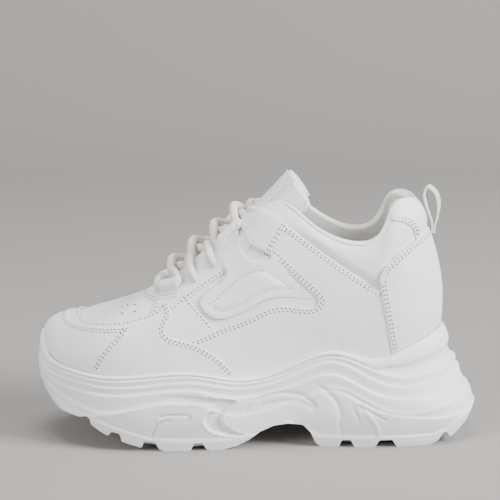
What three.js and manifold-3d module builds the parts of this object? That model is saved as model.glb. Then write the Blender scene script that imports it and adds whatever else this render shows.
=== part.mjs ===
// Platform sneaker, left shoe, standing empty on its sole. Millimetres.
// +X points to the toe, +Y to the outer side of the foot, +Z up, and the floor is z = 0.
import * as THREE from 'three';
import Module from 'manifold-3d';

const wasm = await Module();
wasm.setup();

// ---------- driving dimensions ----------
const CLEARANCE = 0.3;          // between pieces that touch in the real shoe
const AROUND = 76;              // facets around the shoe
const RIM_WALL = 2.6;           // thickness of the sole's lip round the upper
const UPPER_WALL = 2.4;         // leather, foam and lining together
const EYESTAY_WALL = 3.0;       // upper at the lace rows
const RIDGE_HEIGHT = 0.9;       // how far each moulded sole ridge stands out of the wall
const CREASE_HALF = 0.5;        // half height of a crease
const CREASE_DEPTH = 0.5;       // how far each crease between ridges sinks into it
const LOW_HEIGHT = 22;          // heights where the sole table gives the wall's stand-out
const MID_HEIGHT = 42;
const INSOLE_MARGIN = 0.8;      // between the insole's edge and the upper
const LACE_RADIUS = 2.0;
const LACE_LIFT = 0.8;          // lace off the tongue and off the eyestay
const LOOP_WIDTH = 9.0;         // pull loop webbing
const LOOP_THICKNESS = 1.5;
const PATCH_THICKNESS = 2.2;    // lace tabs and strap, folded double
const PATCH_LIFT = 0.8;         // under face of a lace tab off the curved upper
const SOLE_DEPTH = 60;          // half width of the side-view shapes that cut the sole

// ---------- tables ----------
function table(columns, rows) {
  return rows.map((row) => Object.fromEntries(columns.map((name, i) => [name, row[i]])));
}

// The sole's top lip and its moulded creases, heel back first, then outer side, toe, inner side.
// x, y, lip: outer edge of the lip. crease1..3: heights of the three creases. pod: top of the
// ribbed outsole. outMid, outLow, outFoot: how far the wall stands out at 42, 22 and 0 mm height.
const SOLE = table(
  ['x', 'y', 'lip', 'crease1', 'crease2', 'crease3', 'pod', 'outMid', 'outLow', 'outFoot'],
  [
    [-121.5, 0, 72, 52, 46, 35, 23, 10, 20, 16],
    [-117.0, 17.5, 71, 49, 44, 33, 20, 8, 17, 13],
    [-105.5, 29, 66.5, 46.5, 41, 31.5, 19, 5, 12, 9],
    [-90, 35.8, 60, 46, 40, 32.5, 21.5, 3.5, 8, 6],
    [-72, 38.2, 57, 51.5, 46, 37.5, 27.5, 3, 6.5, 4.5],
    [-50, 38.8, 62, 59, 56, 48, 38, 3, 5.5, 3],
    [-28, 39.6, 56, 53.5, 49.5, 43, 33, 1.5, 2.5, 0],
    [-6, 42.5, 47.6, 45, 42, 36.5, 26, 1, 1.5, -1],
    [16, 46.8, 46.6, 44.2, 41, 35.5, 24, 1, 2.5, 0],
    [38, 50.6, 50.5, 48.5, 45, 40, 32, 1, 2.8, 0],
    [60, 51.8, 50.6, 48.2, 44.3, 39.8, 32, 1, 2.8, 0],
    [80, 50.2, 48.5, 46.1, 42, 37.2, 28, 1.2, 3.2, 0],
    [98.6, 45.2, 47.6, 45.3, 41.6, 36.8, 26, 0.9, 2.7, -0.7],
    [114.4, 36.9, 49.2, 46.9, 43.4, 38.4, 30, 0.6, 0.8, -3.8],
    [128.2, 25, 51.8, 48.9, 44.9, 40.4, 35, 0.6, -2.6, -8.2],
    [136.2, 9.6, 56.8, 51.8, 47.4, 43.6, 38.6, 1.4, -5.8, -12.4],
    [138.6, -7, 66, 56.5, 50.6, 46, 40, 2, -6.5, -13],
    [134, -23.8, 60.5, 54.5, 49, 44.4, 38.6, 1.7, -4.7, -10.7],
    [122.8, -36.8, 52.8, 50.2, 46.2, 41.6, 34.6, 1.5, -0.6, -5.6],
    [107, -44.2, 49.8, 47.6, 44, 39, 30, 2.2, 2.8, -1],
    [88, -49, 49, 46.8, 43, 37.8, 27, 1.6, 3.4, 0],
    [66, -49.4, 50, 47.8, 44, 39.5, 31, 1.2, 3, 0],
    [43, -45.8, 50.5, 48.4, 45, 40, 32, 1, 2.8, 0],
    [20, -40, 48, 45.5, 42, 37, 26, 1, 2.2, 0],
    [-3, -36, 49, 46.5, 43, 38, 27, 1, 1.5, -1],
    [-26, -34.6, 56, 53.5, 49.5, 43, 33, 1.5, 2.5, 0],
    [-49, -35.6, 61.5, 58.5, 55.5, 47.5, 38, 3, 5.5, 3],
    [-71, -37, 57, 51.5, 46, 37.5, 27.5, 3, 6.5, 4.5],
    [-90, -34.6, 60, 46, 40, 32.5, 21.5, 3.5, 8, 6],
    [-105.5, -28.4, 66.5, 46.5, 41, 31.5, 19, 5, 12, 9],
    [-117, -17, 71, 49, 44, 33, 20, 8, 17, 13],
  ],
);

// The upper at the same stations. x, y, z: the collar and throat edge. lean, rise: the wall's
// angle outwards and reach as it leaves the lip. fall, reach: the same where it arrives at the
// edge. pad: wall thickness at the edge.
const UPPER = table(
  ['x', 'y', 'z', 'lean', 'rise', 'fall', 'reach', 'pad'],
  [
    [-103.5, 0, 153.5, 12, 26, 67, 26, 7],
    [-101, 12, 154.8, 12, 26, 68, 26, 7],
    [-94.5, 20.5, 155.6, 11, 27, 72, 26, 7.5],
    [-86, 27, 149, 10, 27, 76, 26, 8.5],
    [-75.5, 31, 131.5, 8, 24, 78, 22, 9],
    [-54, 32.3, 131, 7, 24, 76, 22, 9],
    [-33, 31.3, 143.5, 3, 28, 70, 26, 8],
    [-14, 27.5, 156.5, 0, 34, 62, 34, 5.5],
    [5, 21.5, 147, -2, 34, 56, 32, EYESTAY_WALL],
    [22, 18, 133, -3, 32, 52, 28, EYESTAY_WALL],
    [38, 15.5, 118.5, -3, 32, 46, 27, EYESTAY_WALL],
    [51, 13.6, 107.4, -2, 32, 38, 26, EYESTAY_WALL],
    [60.5, 10.6, 101.6, 0, 31, 29, 28, EYESTAY_WALL],
    [65.2, 6.2, 98.4, 1, 27, 25, 34, EYESTAY_WALL],
    [66.8, 2.6, 97, 3, 20, 24, 40, EYESTAY_WALL],
    [67.3, 0.2, 96.2, 5, 17, 23, 43, EYESTAY_WALL],
    [67.3, -2.2, 95.6, 5, 12, 23, 43, EYESTAY_WALL],
    [66.8, -4.6, 95.2, 4, 15, 23, 40, EYESTAY_WALL],
    [65.2, -8.2, 94.8, 2, 21, 26, 34, EYESTAY_WALL],
    [60.5, -12.6, 96, 0, 28, 31, 28, EYESTAY_WALL],
    [51, -15, 101.5, -2, 31, 38, 26, EYESTAY_WALL],
    [38, -16.5, 112.5, -3, 32, 46, 27, EYESTAY_WALL],
    [22, -18.5, 127.5, -5, 33, 52, 29, EYESTAY_WALL],
    [5, -21.5, 143.6, -3, 34, 57, 32, EYESTAY_WALL],
    [-14, -27.5, 152.8, 2, 34, 63, 34, 5.5],
    [-33, -31, 143.5, 5, 29, 72, 27, 8],
    [-54, -32, 131, 7, 24, 76, 22, 9],
    [-75.5, -30.5, 131.5, 8, 24, 78, 22, 9],
    [-86, -26.5, 148.5, 10, 27, 76, 26, 8.5],
    [-94.5, -20, 154.8, 11, 27, 72, 26, 7.5],
    [-101, -11.5, 154.6, 12, 26, 68, 26, 7],
  ],
);

// Heights along the length: seat, where the upper stands in the sole, and the foot's bed.
const LENGTHWISE = table(
  ['x', 'seat', 'bed', 'dish'],
  [
    [-126, 61, 86, 2.5],
    [-100, 54, 84.5, 2.5],
    [-74, 50, 79, 2.5],
    [-48, 50.5, 72, 2.5],
    [-22, 45, 62.5, 2.2],
    [4, 40, 54, 1.8],
    [30, 39, 48.5, 1.4],
    [56, 40, 46, 1],
    [82, 40.5, 46, 1],
    [108, 43.5, 49.5, 1],
    [134, 52.5, 58.5, 1],
  ],
);

// Side view of the tread, from the arch forward to the toe and back to the heel: lugs, grooves,
// arch and toe spring. The line is closed far above the sole.
const TREAD = [
  [150, 200], [150, 62], [141.5, 50], [140, 40], [136, 30.5], [131, 25], [124, 21.5],
  [112, 20.2], [107, 21.6], [105, 20], [104.4, 16.4], [98, 12], [93, 9.6], [91.6, 15],
  [86, 14], [84.6, 6.2], [72, 2.2], [70.4, 8.4], [63.6, 7.8], [61, 1.4], [58, 0], [41, 0],
  [39, 7], [33.6, 7], [31, 0.6], [28, 0], [20, 0], [12, 2], [4, 6], [-3, 11], [-12, 14.8],
  [-21, 16], [-30, 14.8], [-35, 10], [-38, 3], [-41, 0], [-53, 0], [-55, 7], [-60.5, 7],
  [-63, 0], [-76, 0], [-79, 7], [-87, 7], [-90, 0], [-112, 0], [-117, 2.6], [-120.4, 9.4],
  [-122.6, 9.4], [-125, 2.6], [-135, 12], [-139, 19], [-150, 30], [-160, 40], [-160, 200],
];

// Side view of the two outsole pieces that wrap up the wall under the midsole.
const FOREFOOT_SHELL = [
  [160, -10], [160, 46], [141, 45], [129, 38.5], [119, 34.5], [111, 30], [102, 26.5], [92, 25.6],
  [80, 28.2], [67, 32.6], [54, 33.6], [42, 33.4], [32, 31.8], [26, 29.2], [23, 25], [22.4, 20.5],
  [18, 17.4], [10, 14.6], [3, 11.8], [-1, 8], [-6, -10],
];
const HEEL_SHELL = [
  [-34.4, -10], [-35, 12], [-37.4, 22], [-38.6, 32], [-41, 38.6], [-46, 40.4], [-53, 38.6],
  [-62, 34], [-72, 29.4], [-81, 25.6], [-91, 23.4], [-103, 21.6], [-113, 20.4], [-122, 21],
  [-130, 23.6], [-140, 29], [-160, 36], [-160, -10],
];

// The tongue from its hidden front end up to its top edge. crownX, crownZ: the middle of its
// face. edgeX, edgeZ, half: its side edge. thick: its padding.
const TONGUE = table(
  ['crownX', 'crownZ', 'edgeX', 'edgeZ', 'half', 'thick'],
  [
    [76, 87.6, 75, 83, 13, 4],
    [60, 95, 57, 86, 16.5, 4.5],
    [42, 112.4, 38, 100, 18, 5],
    [22, 129, 17, 113.5, 20, 5.5],
    [5, 144, -2, 126.5, 20.5, 6.5],
    [-8, 156.6, -18, 139.5, 20.5, 7.5],
    [-18.5, 168, -31, 149.5, 21.5, 8],
    [-21.5, 171.5, -35, 152.5, 22, 6],
  ],
);

// The rounded bottom edge under the ribbed band, up from below the tread. height: as a part of
// the band's top. out: from the wall.
const BOTTOM_EDGE = table(['height', 'out'], [[-0.08, -3], [0.18, -0.8], [0.55, 0.4]]);

// Lace rows: x along the throat at the lateral and medial eyelets, and t, how high on the upper.
const LACE_ROWS = table(
  ['name', 'x', 't'],
  [
    ['front', 57, 0.985],
    ['second', 41, 0.94],
    ['third', 29, 0.94],
    ['fourth', 17, 0.985],
    ['top', 5, 0.985],
  ],
);

// Lace tabs and the strap end, folded leather that stands proud. from, to: stations around the
// upper; low, high: how far up the wall.
const TABS = table(
  ['name', 'station', 'width', 'low', 'high'],
  [
    ['front_lace_tab', 10.8, 0.7, 0.74, 0.93],
    ['wing_lace_tab', 8.4, 0.5, 0.68, 0.93],
    ['lace_strap', 7.35, 0.9, 0.7, 0.94],
  ],
);

// ---------- smooth columns ----------
// Periodic cubic through the rows of a ring table.
function ringColumn(rows, name) {
  const value = rows.map((row) => row[name]);
  const count = value.length;
  const at = (list, i) => list[((i % count) + count) % count];
  let bend = value.map(() => 0);
  for (let pass = 0; pass < 60; pass += 1) {
    bend = value.map((v, i) => {
      const pull = 6 * (at(value, i - 1) - 2 * v + at(value, i + 1));
      return (pull - at(bend, i - 1) - at(bend, i + 1)) / 4;
    });
  }
  return (u) => {
    const i = Math.floor(u);
    const f = u - i;
    const g = 1 - f;
    return g * at(value, i) + f * at(value, i + 1)
      + ((g ** 3 - g) * at(bend, i) + (f ** 3 - f) * at(bend, i + 1)) / 6;
  };
}

// Open cubic through (x, y) pairs, by Catmull-Rom slopes.
function openColumn(xs, ys) {
  const last = xs.length - 1;
  const slope = ys.map((y, i) => {
    const a = Math.max(0, i - 1);
    const b = Math.min(last, i + 1);
    return (ys[b] - ys[a]) / (xs[b] - xs[a]);
  });
  return (x) => {
    let i = 0;
    while (i < last - 1 && (x - xs[i + 1]) * (xs[last] - xs[0]) > 0) i += 1;
    const span = xs[i + 1] - xs[i];
    const f = Math.min(1, Math.max(0, (x - xs[i]) / span));
    const g = 1 - f;
    return ys[i] * (1 + 2 * f) * g * g + ys[i + 1] * (1 + 2 * g) * f * f
      + span * f * g * (slope[i] * g - slope[i + 1] * f);
  };
}

function columns(rows, maker) {
  const names = Object.keys(rows[0]);
  return Object.fromEntries(names.map((name) => [name, maker(name)]));
}

const sole = columns(SOLE, (name) => ringColumn(SOLE, name));
const upper = columns(UPPER, (name) => ringColumn(UPPER, name));
const along = columns(LENGTHWISE, (name) => openColumn(
  LENGTHWISE.map((row) => row.x), LENGTHWISE.map((row) => row[name]),
));
const tongueRow = columns(TONGUE, (name) => openColumn(
  TONGUE.map((row, i) => i), TONGUE.map((row) => row[name]),
));

// ---------- solids from grids ----------
// Collects triangles on shared vertices and leaves out the empty ones.
class Skin {
  constructor() {
    this.points = [];
    this.index = new Map();
    this.faces = [];
  }

  vertex(p) {
    const key = [p.x, p.y, p.z].map((c) => Math.round(c * 1e4)).join();
    if (!this.index.has(key)) {
      this.index.set(key, this.points.length);
      this.points.push(p);
    }
    return this.index.get(key);
  }

  triangle(a, b, c) {
    const [i, j, k] = [a, b, c].map((p) => this.vertex(p));
    if (i !== j && j !== k && k !== i) this.faces.push([i, j, k]);
  }

  quad(a, b, c, d) {
    this.triangle(a, b, c);
    this.triangle(a, c, d);
  }

  // rows of equal length; wrapped rows close on themselves
  grid(rows, wrapped) {
    const count = rows[0].length;
    const steps = wrapped ? count : count - 1;
    for (let r = 0; r + 1 < rows.length; r += 1) {
      for (let i = 0; i < steps; i += 1) {
        const j = (i + 1) % count;
        this.quad(rows[r][i], rows[r + 1][i], rows[r + 1][j], rows[r][j]);
      }
    }
  }

  // fills a ring by bridging its two sides; height(point, side) may shape the fill
  bridge(ring, across, upwards, height = null) {
    const half = ring.length / 2;
    const strips = [];
    for (let j = 0; j <= across; j += 1) {
      strips.push([]);
      for (let i = 0; i <= half; i += 1) {
        const p = ring[i].clone().lerp(ring[(ring.length - i) % ring.length], j / across);
        const inside = j > 0 && j < across && i > 0 && i < half;
        if (height && inside) p.z = height(p, (2 * j) / across - 1);
        strips[j].push(p);
      }
    }
    for (let j = 0; j < across; j += 1) {
      for (let i = 0; i < half; i += 1) {
        const [a, b, c, d] = [strips[j][i], strips[j][i + 1], strips[j + 1][i + 1], strips[j + 1][i]];
        if (upwards) this.quad(a, d, c, b);
        else this.quad(a, b, c, d);
      }
    }
  }

  solid() {
    const mesh = new wasm.Mesh({
      numProp: 3,
      vertProperties: new Float32Array(this.points.flatMap((p) => [p.x, p.y, p.z])),
      triVerts: new Uint32Array(this.outwardFaces().flat()),
    });
    return new wasm.Manifold(mesh);
  }

  outwardFaces() {
    const volume = this.faces.reduce((sum, [i, j, k]) => {
      const [a, b, c] = [this.points[i], this.points[j], this.points[k]];
      return sum + a.dot(b.clone().cross(c));
    }, 0);
    return volume > 0 ? this.faces : this.faces.map(([i, j, k]) => [i, k, j]);
  }
}

function geometryOf(solid) {
  const mesh = solid.getMesh();
  const geometry = new THREE.BufferGeometry();
  geometry.setAttribute('position', new THREE.BufferAttribute(mesh.vertProperties.slice(), 3));
  geometry.setIndex(new THREE.BufferAttribute(mesh.triVerts.slice(), 1));
  const flat = geometry.toNonIndexed();
  flat.computeVertexNormals();
  return flat;
}

// A side-view outline as a solid across the whole shoe.
function sideSlab(outline, halfWidth) {
  const shape = new THREE.Shape(outline.map(([x, z]) => new THREE.Vector2(x, z)));
  const slab = new THREE.ExtrudeGeometry(shape, { depth: 2 * halfWidth, bevelEnabled: false });
  slab.rotateX(Math.PI / 2);
  slab.translate(0, halfWidth, 0);
  return solidOf(slab);
}

function solidOf(geometry) {
  const skin = new Skin();
  const place = geometry.getAttribute('position');
  const corner = (i) => new THREE.Vector3().fromBufferAttribute(place, i);
  const order = geometry.index ? [...geometry.index.array] : [...Array(place.count).keys()];
  for (let i = 0; i < order.length; i += 3) {
    skin.triangle(corner(order[i]), corner(order[i + 1]), corner(order[i + 2]));
  }
  return skin.solid();
}

// The same outline moved outwards by a distance.
function grown(outline, distance) {
  const points = outline.map(([x, z]) => new THREE.Vector2(x, z));
  const turn = THREE.ShapeUtils.area(points) > 0 ? 1 : -1;
  return points.map((p, i) => {
    const before = points[(i + points.length - 1) % points.length];
    const after = points[(i + 1) % points.length];
    const a = p.clone().sub(before).normalize();
    const b = after.clone().sub(p).normalize();
    const out = new THREE.Vector2(a.y + b.y, -a.x - b.x).normalize().multiplyScalar(turn);
    const widen = 1 / Math.max(0.4, Math.sqrt((1 + a.dot(b)) / 2));
    return [p.x + out.x * distance * widen, p.y + out.y * distance * widen];
  });
}

// ---------- sole ----------
const STATIONS = SOLE.length;
const stationOf = (i) => (i * STATIONS) / AROUND;
const ringOf = (at) => Array.from({ length: AROUND }, (_, i) => at(stationOf(i)));

// Unit vector out of the sole in plan.
function planOut(u) {
  const step = 0.02;
  const dx = sole.x(u + step) - sole.x(u - step);
  const dy = sole.y(u + step) - sole.y(u - step);
  return new THREE.Vector3(-dy, dx, 0).normalize();
}

// How far the wall stands out from the lip at a height.
function wallOut(u, z) {
  const lip = sole.lip(u);
  const heights = [0, LOW_HEIGHT, MID_HEIGHT, lip];
  const outs = [sole.outFoot(u), sole.outLow(u), sole.outMid(u), 0];
  return openColumn(heights, outs)(Math.min(z, lip));
}

function wallPoint(u, z, extra) {
  const out = planOut(u).multiplyScalar(wallOut(u, z) + extra);
  return new THREE.Vector3(sole.x(u) + out.x, sole.y(u) + out.y, z);
}

// Lip edge moved in by a distance, at a height.
function insetPoint(u, inset, z) {
  const out = planOut(u).multiplyScalar(-inset);
  return new THREE.Vector3(sole.x(u) + out.x, sole.y(u) + out.y, z);
}

function soleSkin() {
  const lines = [sole.pod, sole.crease3, sole.crease2, sole.crease1, sole.lip];
  const rows = BOTTOM_EDGE.map(({ height, out }) => ringOf(
    (u) => wallPoint(u, height * sole.pod(u), out),
  ));
  lines.forEach((line, k) => {
    const top = k === lines.length - 1;
    const swell = top ? 0 : RIDGE_HEIGHT;
    rows.push(ringOf((u) => wallPoint(u, line(u) - 2 * CREASE_HALF, swell)));
    if (!top) rows.push(ringOf((u) => wallPoint(u, line(u) + CREASE_HALF, -CREASE_DEPTH)));
  });
  rows.push(ringOf((u) => insetPoint(u, RIM_WALL / 3, sole.lip(u))));
  rows.push(ringOf((u) => insetPoint(u, RIM_WALL, sole.lip(u))));
  rows.push(ringOf((u) => seatPoint(u, RIM_WALL, 0)));
  const skin = new Skin();
  skin.grid(rows, true);
  skin.bridge(rows[0], 4, false);
  skin.bridge(rows[rows.length - 1], 4, true, (p) => along.seat(p.x));
  return skin;
}

// On the seat where the upper stands.
function seatPoint(u, inset, lift) {
  const p = insetPoint(u, inset, 0);
  p.z = along.seat(p.x) + lift;
  return p;
}

function solePieces() {
  const body = soleSkin().solid().intersect(sideSlab(TREAD, SOLE_DEPTH));
  const front = sideSlab(FOREFOOT_SHELL, SOLE_DEPTH);
  const back = sideSlab(HEEL_SHELL, SOLE_DEPTH);
  const frontRoom = sideSlab(grown(FOREFOOT_SHELL, CLEARANCE), SOLE_DEPTH + 1);
  const backRoom = sideSlab(grown(HEEL_SHELL, CLEARANCE), SOLE_DEPTH + 1);
  return {
    midsole: body.subtract(frontRoom).subtract(backRoom),
    outsole_forefoot: body.intersect(front),
    outsole_heel: body.intersect(back),
  };
}

// ---------- upper ----------
const WALL_INSET = RIM_WALL + CLEARANCE;
const radians = THREE.MathUtils.degToRad;

// Point on the outer face: t = 0 at the sole's lip, 1 at the collar or throat edge.
function upperFace(u, t) {
  const foot = insetPoint(u, WALL_INSET, sole.lip(u));
  const edge = new THREE.Vector3(upper.x(u), upper.y(u), upper.z(u));
  const lean = radians(upper.lean(u));
  const fall = radians(upper.fall(u));
  const leave = planOut(u).multiplyScalar(Math.sin(lean)).setZ(Math.cos(lean));
  const arrive = foot.clone().sub(edge).setZ(0).normalize();
  arrive.multiplyScalar(Math.cos(fall)).setZ(-Math.sin(fall));
  const low = foot.clone().addScaledVector(leave, upper.rise(u));
  const high = edge.clone().addScaledVector(arrive, upper.reach(u));
  return new THREE.CubicBezierCurve3(foot, low, high, edge).getPoint(t);
}

function upperNormal(u, t) {
  const step = 0.03;
  const a = Math.min(1, Math.max(0, t - step));
  const b = Math.min(1, Math.max(0, t + step));
  const rise = upperFace(u, b).sub(upperFace(u, a));
  const round = upperFace(u + step, t).sub(upperFace(u - step, t));
  return rise.cross(round).normalize();
}

function upperWall(u, t) {
  const f = Math.min(1, Math.max(0, (t - 0.5) / 0.4));
  return UPPER_WALL + (upper.pad(u) - UPPER_WALL) * f * f * (3 - 2 * f);
}

// A point off the outer face: positive is outside, negative inside.
function offUpper(u, t, distance) {
  return upperFace(u, t).addScaledVector(upperNormal(u, t), distance);
}

function upperSkin() {
  const levels = [0, 0.12, 0.26, 0.4, 0.54, 0.68, 0.81, 0.92, 1];
  const outer = levels.map((t) => ringOf((u) => upperFace(u, t)));
  outer.unshift(ringOf((u) => seatPoint(u, WALL_INSET, CLEARANCE)));
  const inner = levels.map((t) => ringOf((u) => offUpper(u, t, -upperWall(u, t))));
  inner[0] = ringOf((u) => insetPoint(u, WALL_INSET + UPPER_WALL, sole.lip(u)));
  inner.unshift(ringOf((u) => {
    const p = insetPoint(u, WALL_INSET + UPPER_WALL, 0);
    p.z = seatPoint(u, WALL_INSET, CLEARANCE).z;
    return p;
  }));
  const roll = ringOf((u) => {
    const top = offUpper(u, 1, -upper.pad(u) / 2);
    const rise = upperFace(u, 1).sub(upperFace(u, 0.97)).normalize();
    return top.addScaledVector(rise, upper.pad(u) * 0.24);
  });
  const rows = [...outer, roll, ...inner.reverse(), outer[0]];
  const skin = new Skin();
  skin.grid(rows, true);
  return skin;
}

// ---------- insole ----------
function insoleSkin() {
  const inset = WALL_INSET + UPPER_WALL + INSOLE_MARGIN;
  const top = (p, side) => along.bed(p.x) + along.dish(p.x) * side * side;
  const bottomRing = ringOf((u) => seatPoint(u, inset, CLEARANCE));
  const topRing = ringOf((u) => {
    const p = insetPoint(u, inset, 0);
    p.z = top(p, 1);
    return p;
  });
  const skin = new Skin();
  skin.grid([bottomRing, topRing], true);
  skin.bridge(bottomRing, 4, false, (p) => along.seat(p.x) + CLEARANCE);
  skin.bridge(topRing, 6, true, top);
  return skin;
}

// ---------- tongue ----------
function tonguePoint(v, side, depth) {
  const row = Object.fromEntries(Object.entries(tongueRow).map(([name, f]) => [name, f(v)]));
  const at = (s) => new THREE.Vector3(
    row.crownX + (row.edgeX - row.crownX) * s * s,
    row.half * s,
    row.crownZ + (row.edgeZ - row.crownZ) * s * s,
  );
  const step = 0.02;
  const across = at(side + step).sub(at(side - step));
  const next = Math.min(TONGUE.length - 1, v + step);
  const past = Math.max(0, v - step);
  const lengthwise = new THREE.Vector3(
    tongueRow.crownX(next) - tongueRow.crownX(past), 0,
    tongueRow.crownZ(next) - tongueRow.crownZ(past),
  );
  const inward = across.cross(lengthwise).normalize();
  if (inward.z > 0) inward.negate();
  const taper = 1 - 0.5 * side ** 4;
  return at(side).addScaledVector(inward, depth * row.thick * taper);
}

function tongueSkin() {
  const across = 10;
  const steps = 14;
  const rows = [];
  for (let k = 0; k <= steps; k += 1) {
    const v = ((TONGUE.length - 1) * k) / steps;
    const sides = Array.from({ length: across + 1 }, (_, i) => (2 * i) / across - 1);
    const face = sides.map((side) => tonguePoint(v, side, 0));
    const back = sides.reverse().map((side) => tonguePoint(v, side, 1));
    rows.push([...face, ...back]);
  }
  const skin = new Skin();
  skin.grid(rows, true);
  const cap = (row, flip) => {
    for (let i = 0; i < across; i += 1) {
      const [a, b] = [row[i], row[i + 1]];
      const [c, d] = [row[2 * across - i], row[2 * across + 1 - i]];
      if (flip) skin.quad(a, d, c, b);
      else skin.quad(a, b, c, d);
    }
  };
  cap(rows[0], false);
  cap(rows[steps], true);
  return skin;
}

// ---------- laces ----------
// Station on one side of the throat edge at a given length along the shoe.
function throatStation(x, outerSide) {
  let [low, high] = outerSide ? [7, 15] : [24, 16.5];
  for (let pass = 0; pass < 40; pass += 1) {
    const middle = (low + high) / 2;
    if (upper.x(middle) < x) low = middle;
    else high = middle;
  }
  return (low + high) / 2;
}

function tongueCrown(x) {
  let [low, high] = [0, TONGUE.length - 1];
  for (let pass = 0; pass < 40; pass += 1) {
    const middle = (low + high) / 2;
    if (tongueRow.crownX(middle) > x) low = middle;
    else high = middle;
  }
  return tonguePoint((low + high) / 2, 0, 0);
}

function eyeletPoint(row, outerSide, lift) {
  return offUpper(throatStation(row.x, outerSide), row.t, lift);
}

// One strand from an eyelet on the outer side to one on the inner side.
function laceStrand(outerRow, innerRow, lift) {
  const start = eyeletPoint(outerRow, true, LACE_RADIUS + LACE_LIFT);
  const end = eyeletPoint(innerRow, false, LACE_RADIUS + LACE_LIFT);
  const middle = tongueCrown((start.x + end.x) / 2);
  middle.z += LACE_RADIUS + lift;
  middle.x += 0.7 * (LACE_RADIUS + lift);
  const shoulder = (p) => p.clone().lerp(middle, 0.45).add(new THREE.Vector3(1, 0, 2.9));
  const path = new THREE.CatmullRomCurve3([start, shoulder(start), middle, shoulder(end), end]);
  const section = new THREE.Shape();
  const sides = 8;
  for (let i = 0; i < sides; i += 1) {
    const angle = (2 * Math.PI * i) / sides;
    section[i ? 'lineTo' : 'moveTo'](LACE_RADIUS * Math.cos(angle), LACE_RADIUS * Math.sin(angle));
  }
  return solidOf(new THREE.ExtrudeGeometry(section, { steps: 8, extrudePath: path }));
}

// ---------- lace tabs and straps ----------
function patchSkin(u0, u1, t0, t1) {
  const steps = 6;
  const face = (distance) => Array.from({ length: steps + 1 }, (_, j) => Array.from(
    { length: steps + 1 },
    (_unused, i) => offUpper(u0 + ((u1 - u0) * i) / steps, t0 + ((t1 - t0) * j) / steps, distance),
  ));
  const low = face(PATCH_LIFT);
  const high = face(PATCH_LIFT + PATCH_THICKNESS);
  const skin = new Skin();
  skin.grid(high, false);
  skin.grid(low.map((row) => [...row].reverse()), false);
  const edge = (grid) => [
    ...grid[0],
    ...grid.slice(1).map((row) => row[steps]),
    ...[...grid[steps]].reverse().slice(1),
    ...grid.slice(1, steps).reverse().map((row) => row[0]),
  ];
  skin.grid([edge(low), edge(high)], true);
  return skin;
}

// ---------- pull loop ----------
// Webbing folded into a drop-shaped loop that stands up behind the heel, sewn on at its foot.
function pullLoop() {
  const middle = new THREE.SplineCurve([
    [-113.6, 136], [-111.4, 144], [-109.6, 151], [-108.6, 157], [-110.6, 161.4], [-114.6, 158.6],
    [-117.2, 153], [-117.8, 147], [-116.2, 141], [-114.4, 136.6],
  ].map(([x, z]) => new THREE.Vector2(x, z)));
  const steps = 26;
  const side = (offset) => Array.from({ length: steps + 1 }, (_, i) => {
    const p = middle.getPoint(i / steps);
    const run = middle.getTangent(i / steps);
    return [p.x - run.y * offset, p.y + run.x * offset];
  });
  const half = LOOP_THICKNESS / 2;
  const loop = sideSlab([...side(half), ...side(-half).reverse()], LOOP_WIDTH / 2);
  const foot = sideSlab([[-111.3, 139.5], [-114.6, 139.5], [-115.5, 128.5], [-113.9, 128.5]],
    LOOP_WIDTH / 2);
  return loop.add(foot);
}

// ---------- assembly ----------
const whiteRubber = { color: 0xf1f1f3, roughness: 0.6, metalness: 0 };
const whiteLeather = { color: 0xf4f4f6, roughness: 0.5, metalness: 0 };
const creamPadding = { color: 0xefeadf, roughness: 0.9, metalness: 0 };
const creamLace = { color: 0xf3ecdd, roughness: 0.9, metalness: 0 };

const shoe = new THREE.Group();

function piece(name, solid, look) {
  const mesh = new THREE.Mesh(geometryOf(solid), new THREE.MeshStandardMaterial(look));
  mesh.name = name;
  shoe.add(mesh);
}

for (const [name, solid] of Object.entries(solePieces())) piece(name, solid, whiteRubber);
piece('insole', insoleSkin().solid(), creamPadding);
piece('upper', upperSkin().solid(), whiteLeather);
piece('tongue', tongueSkin().solid(), creamPadding);
piece('pull_loop', pullLoop(), creamLace);

for (const tab of TABS) {
  const [u0, u1] = [tab.station - tab.width / 2, tab.station + tab.width / 2];
  piece(`${tab.name}_outer`, patchSkin(u0, u1, tab.low, tab.high).solid(), whiteLeather);
  const mirrored = (u) => STATIONS - u;
  piece(`${tab.name}_inner`, patchSkin(mirrored(u1), mirrored(u0), tab.low, tab.high).solid(),
    whiteLeather);
}

// The lace's front bar and its four crossings, joined where they turn at the eyelets.
let laces = laceStrand(LACE_ROWS[0], LACE_ROWS[0], LACE_LIFT);
for (let k = 0; k + 1 < LACE_ROWS.length; k += 1) {
  laces = laces.add(laceStrand(LACE_ROWS[k], LACE_ROWS[k + 1], LACE_LIFT))
    .add(laceStrand(LACE_ROWS[k + 1], LACE_ROWS[k], LACE_LIFT));
}
piece('laces', laces, creamLace);

// Origin at the middle of the shoe's box, on the floor.
const box = new THREE.Box3().setFromObject(shoe);
const middle = box.getCenter(new THREE.Vector3());
shoe.position.set(-middle.x, -middle.y, -box.min.z);
shoe.updateMatrixWorld(true);

export default shoe;
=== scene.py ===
"""Platform sneaker for the left foot, standing empty on its sole.

+X is the toe, +Y the outer side of the foot, +Z up, and the floor is z = 0. Sizes in the tables
are millimetres, as on a pattern card. A place on the upper is written (station, height): stations
run 0 at the heel's back, 1 to 14 on the outer side, 15 and 16 at the toe and 17 to 30 on the inner
side; height is 0 at the sole's lip and 1 at the collar or throat edge.
"""

import math

import bmesh
import bpy
import numpy as np
from bpy.props import FloatProperty, FloatVectorProperty, PointerProperty
from bpy.types import Operator, Panel, PropertyGroup
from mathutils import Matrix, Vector
from mathutils.geometry import delaunay_2d_cdt


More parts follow.
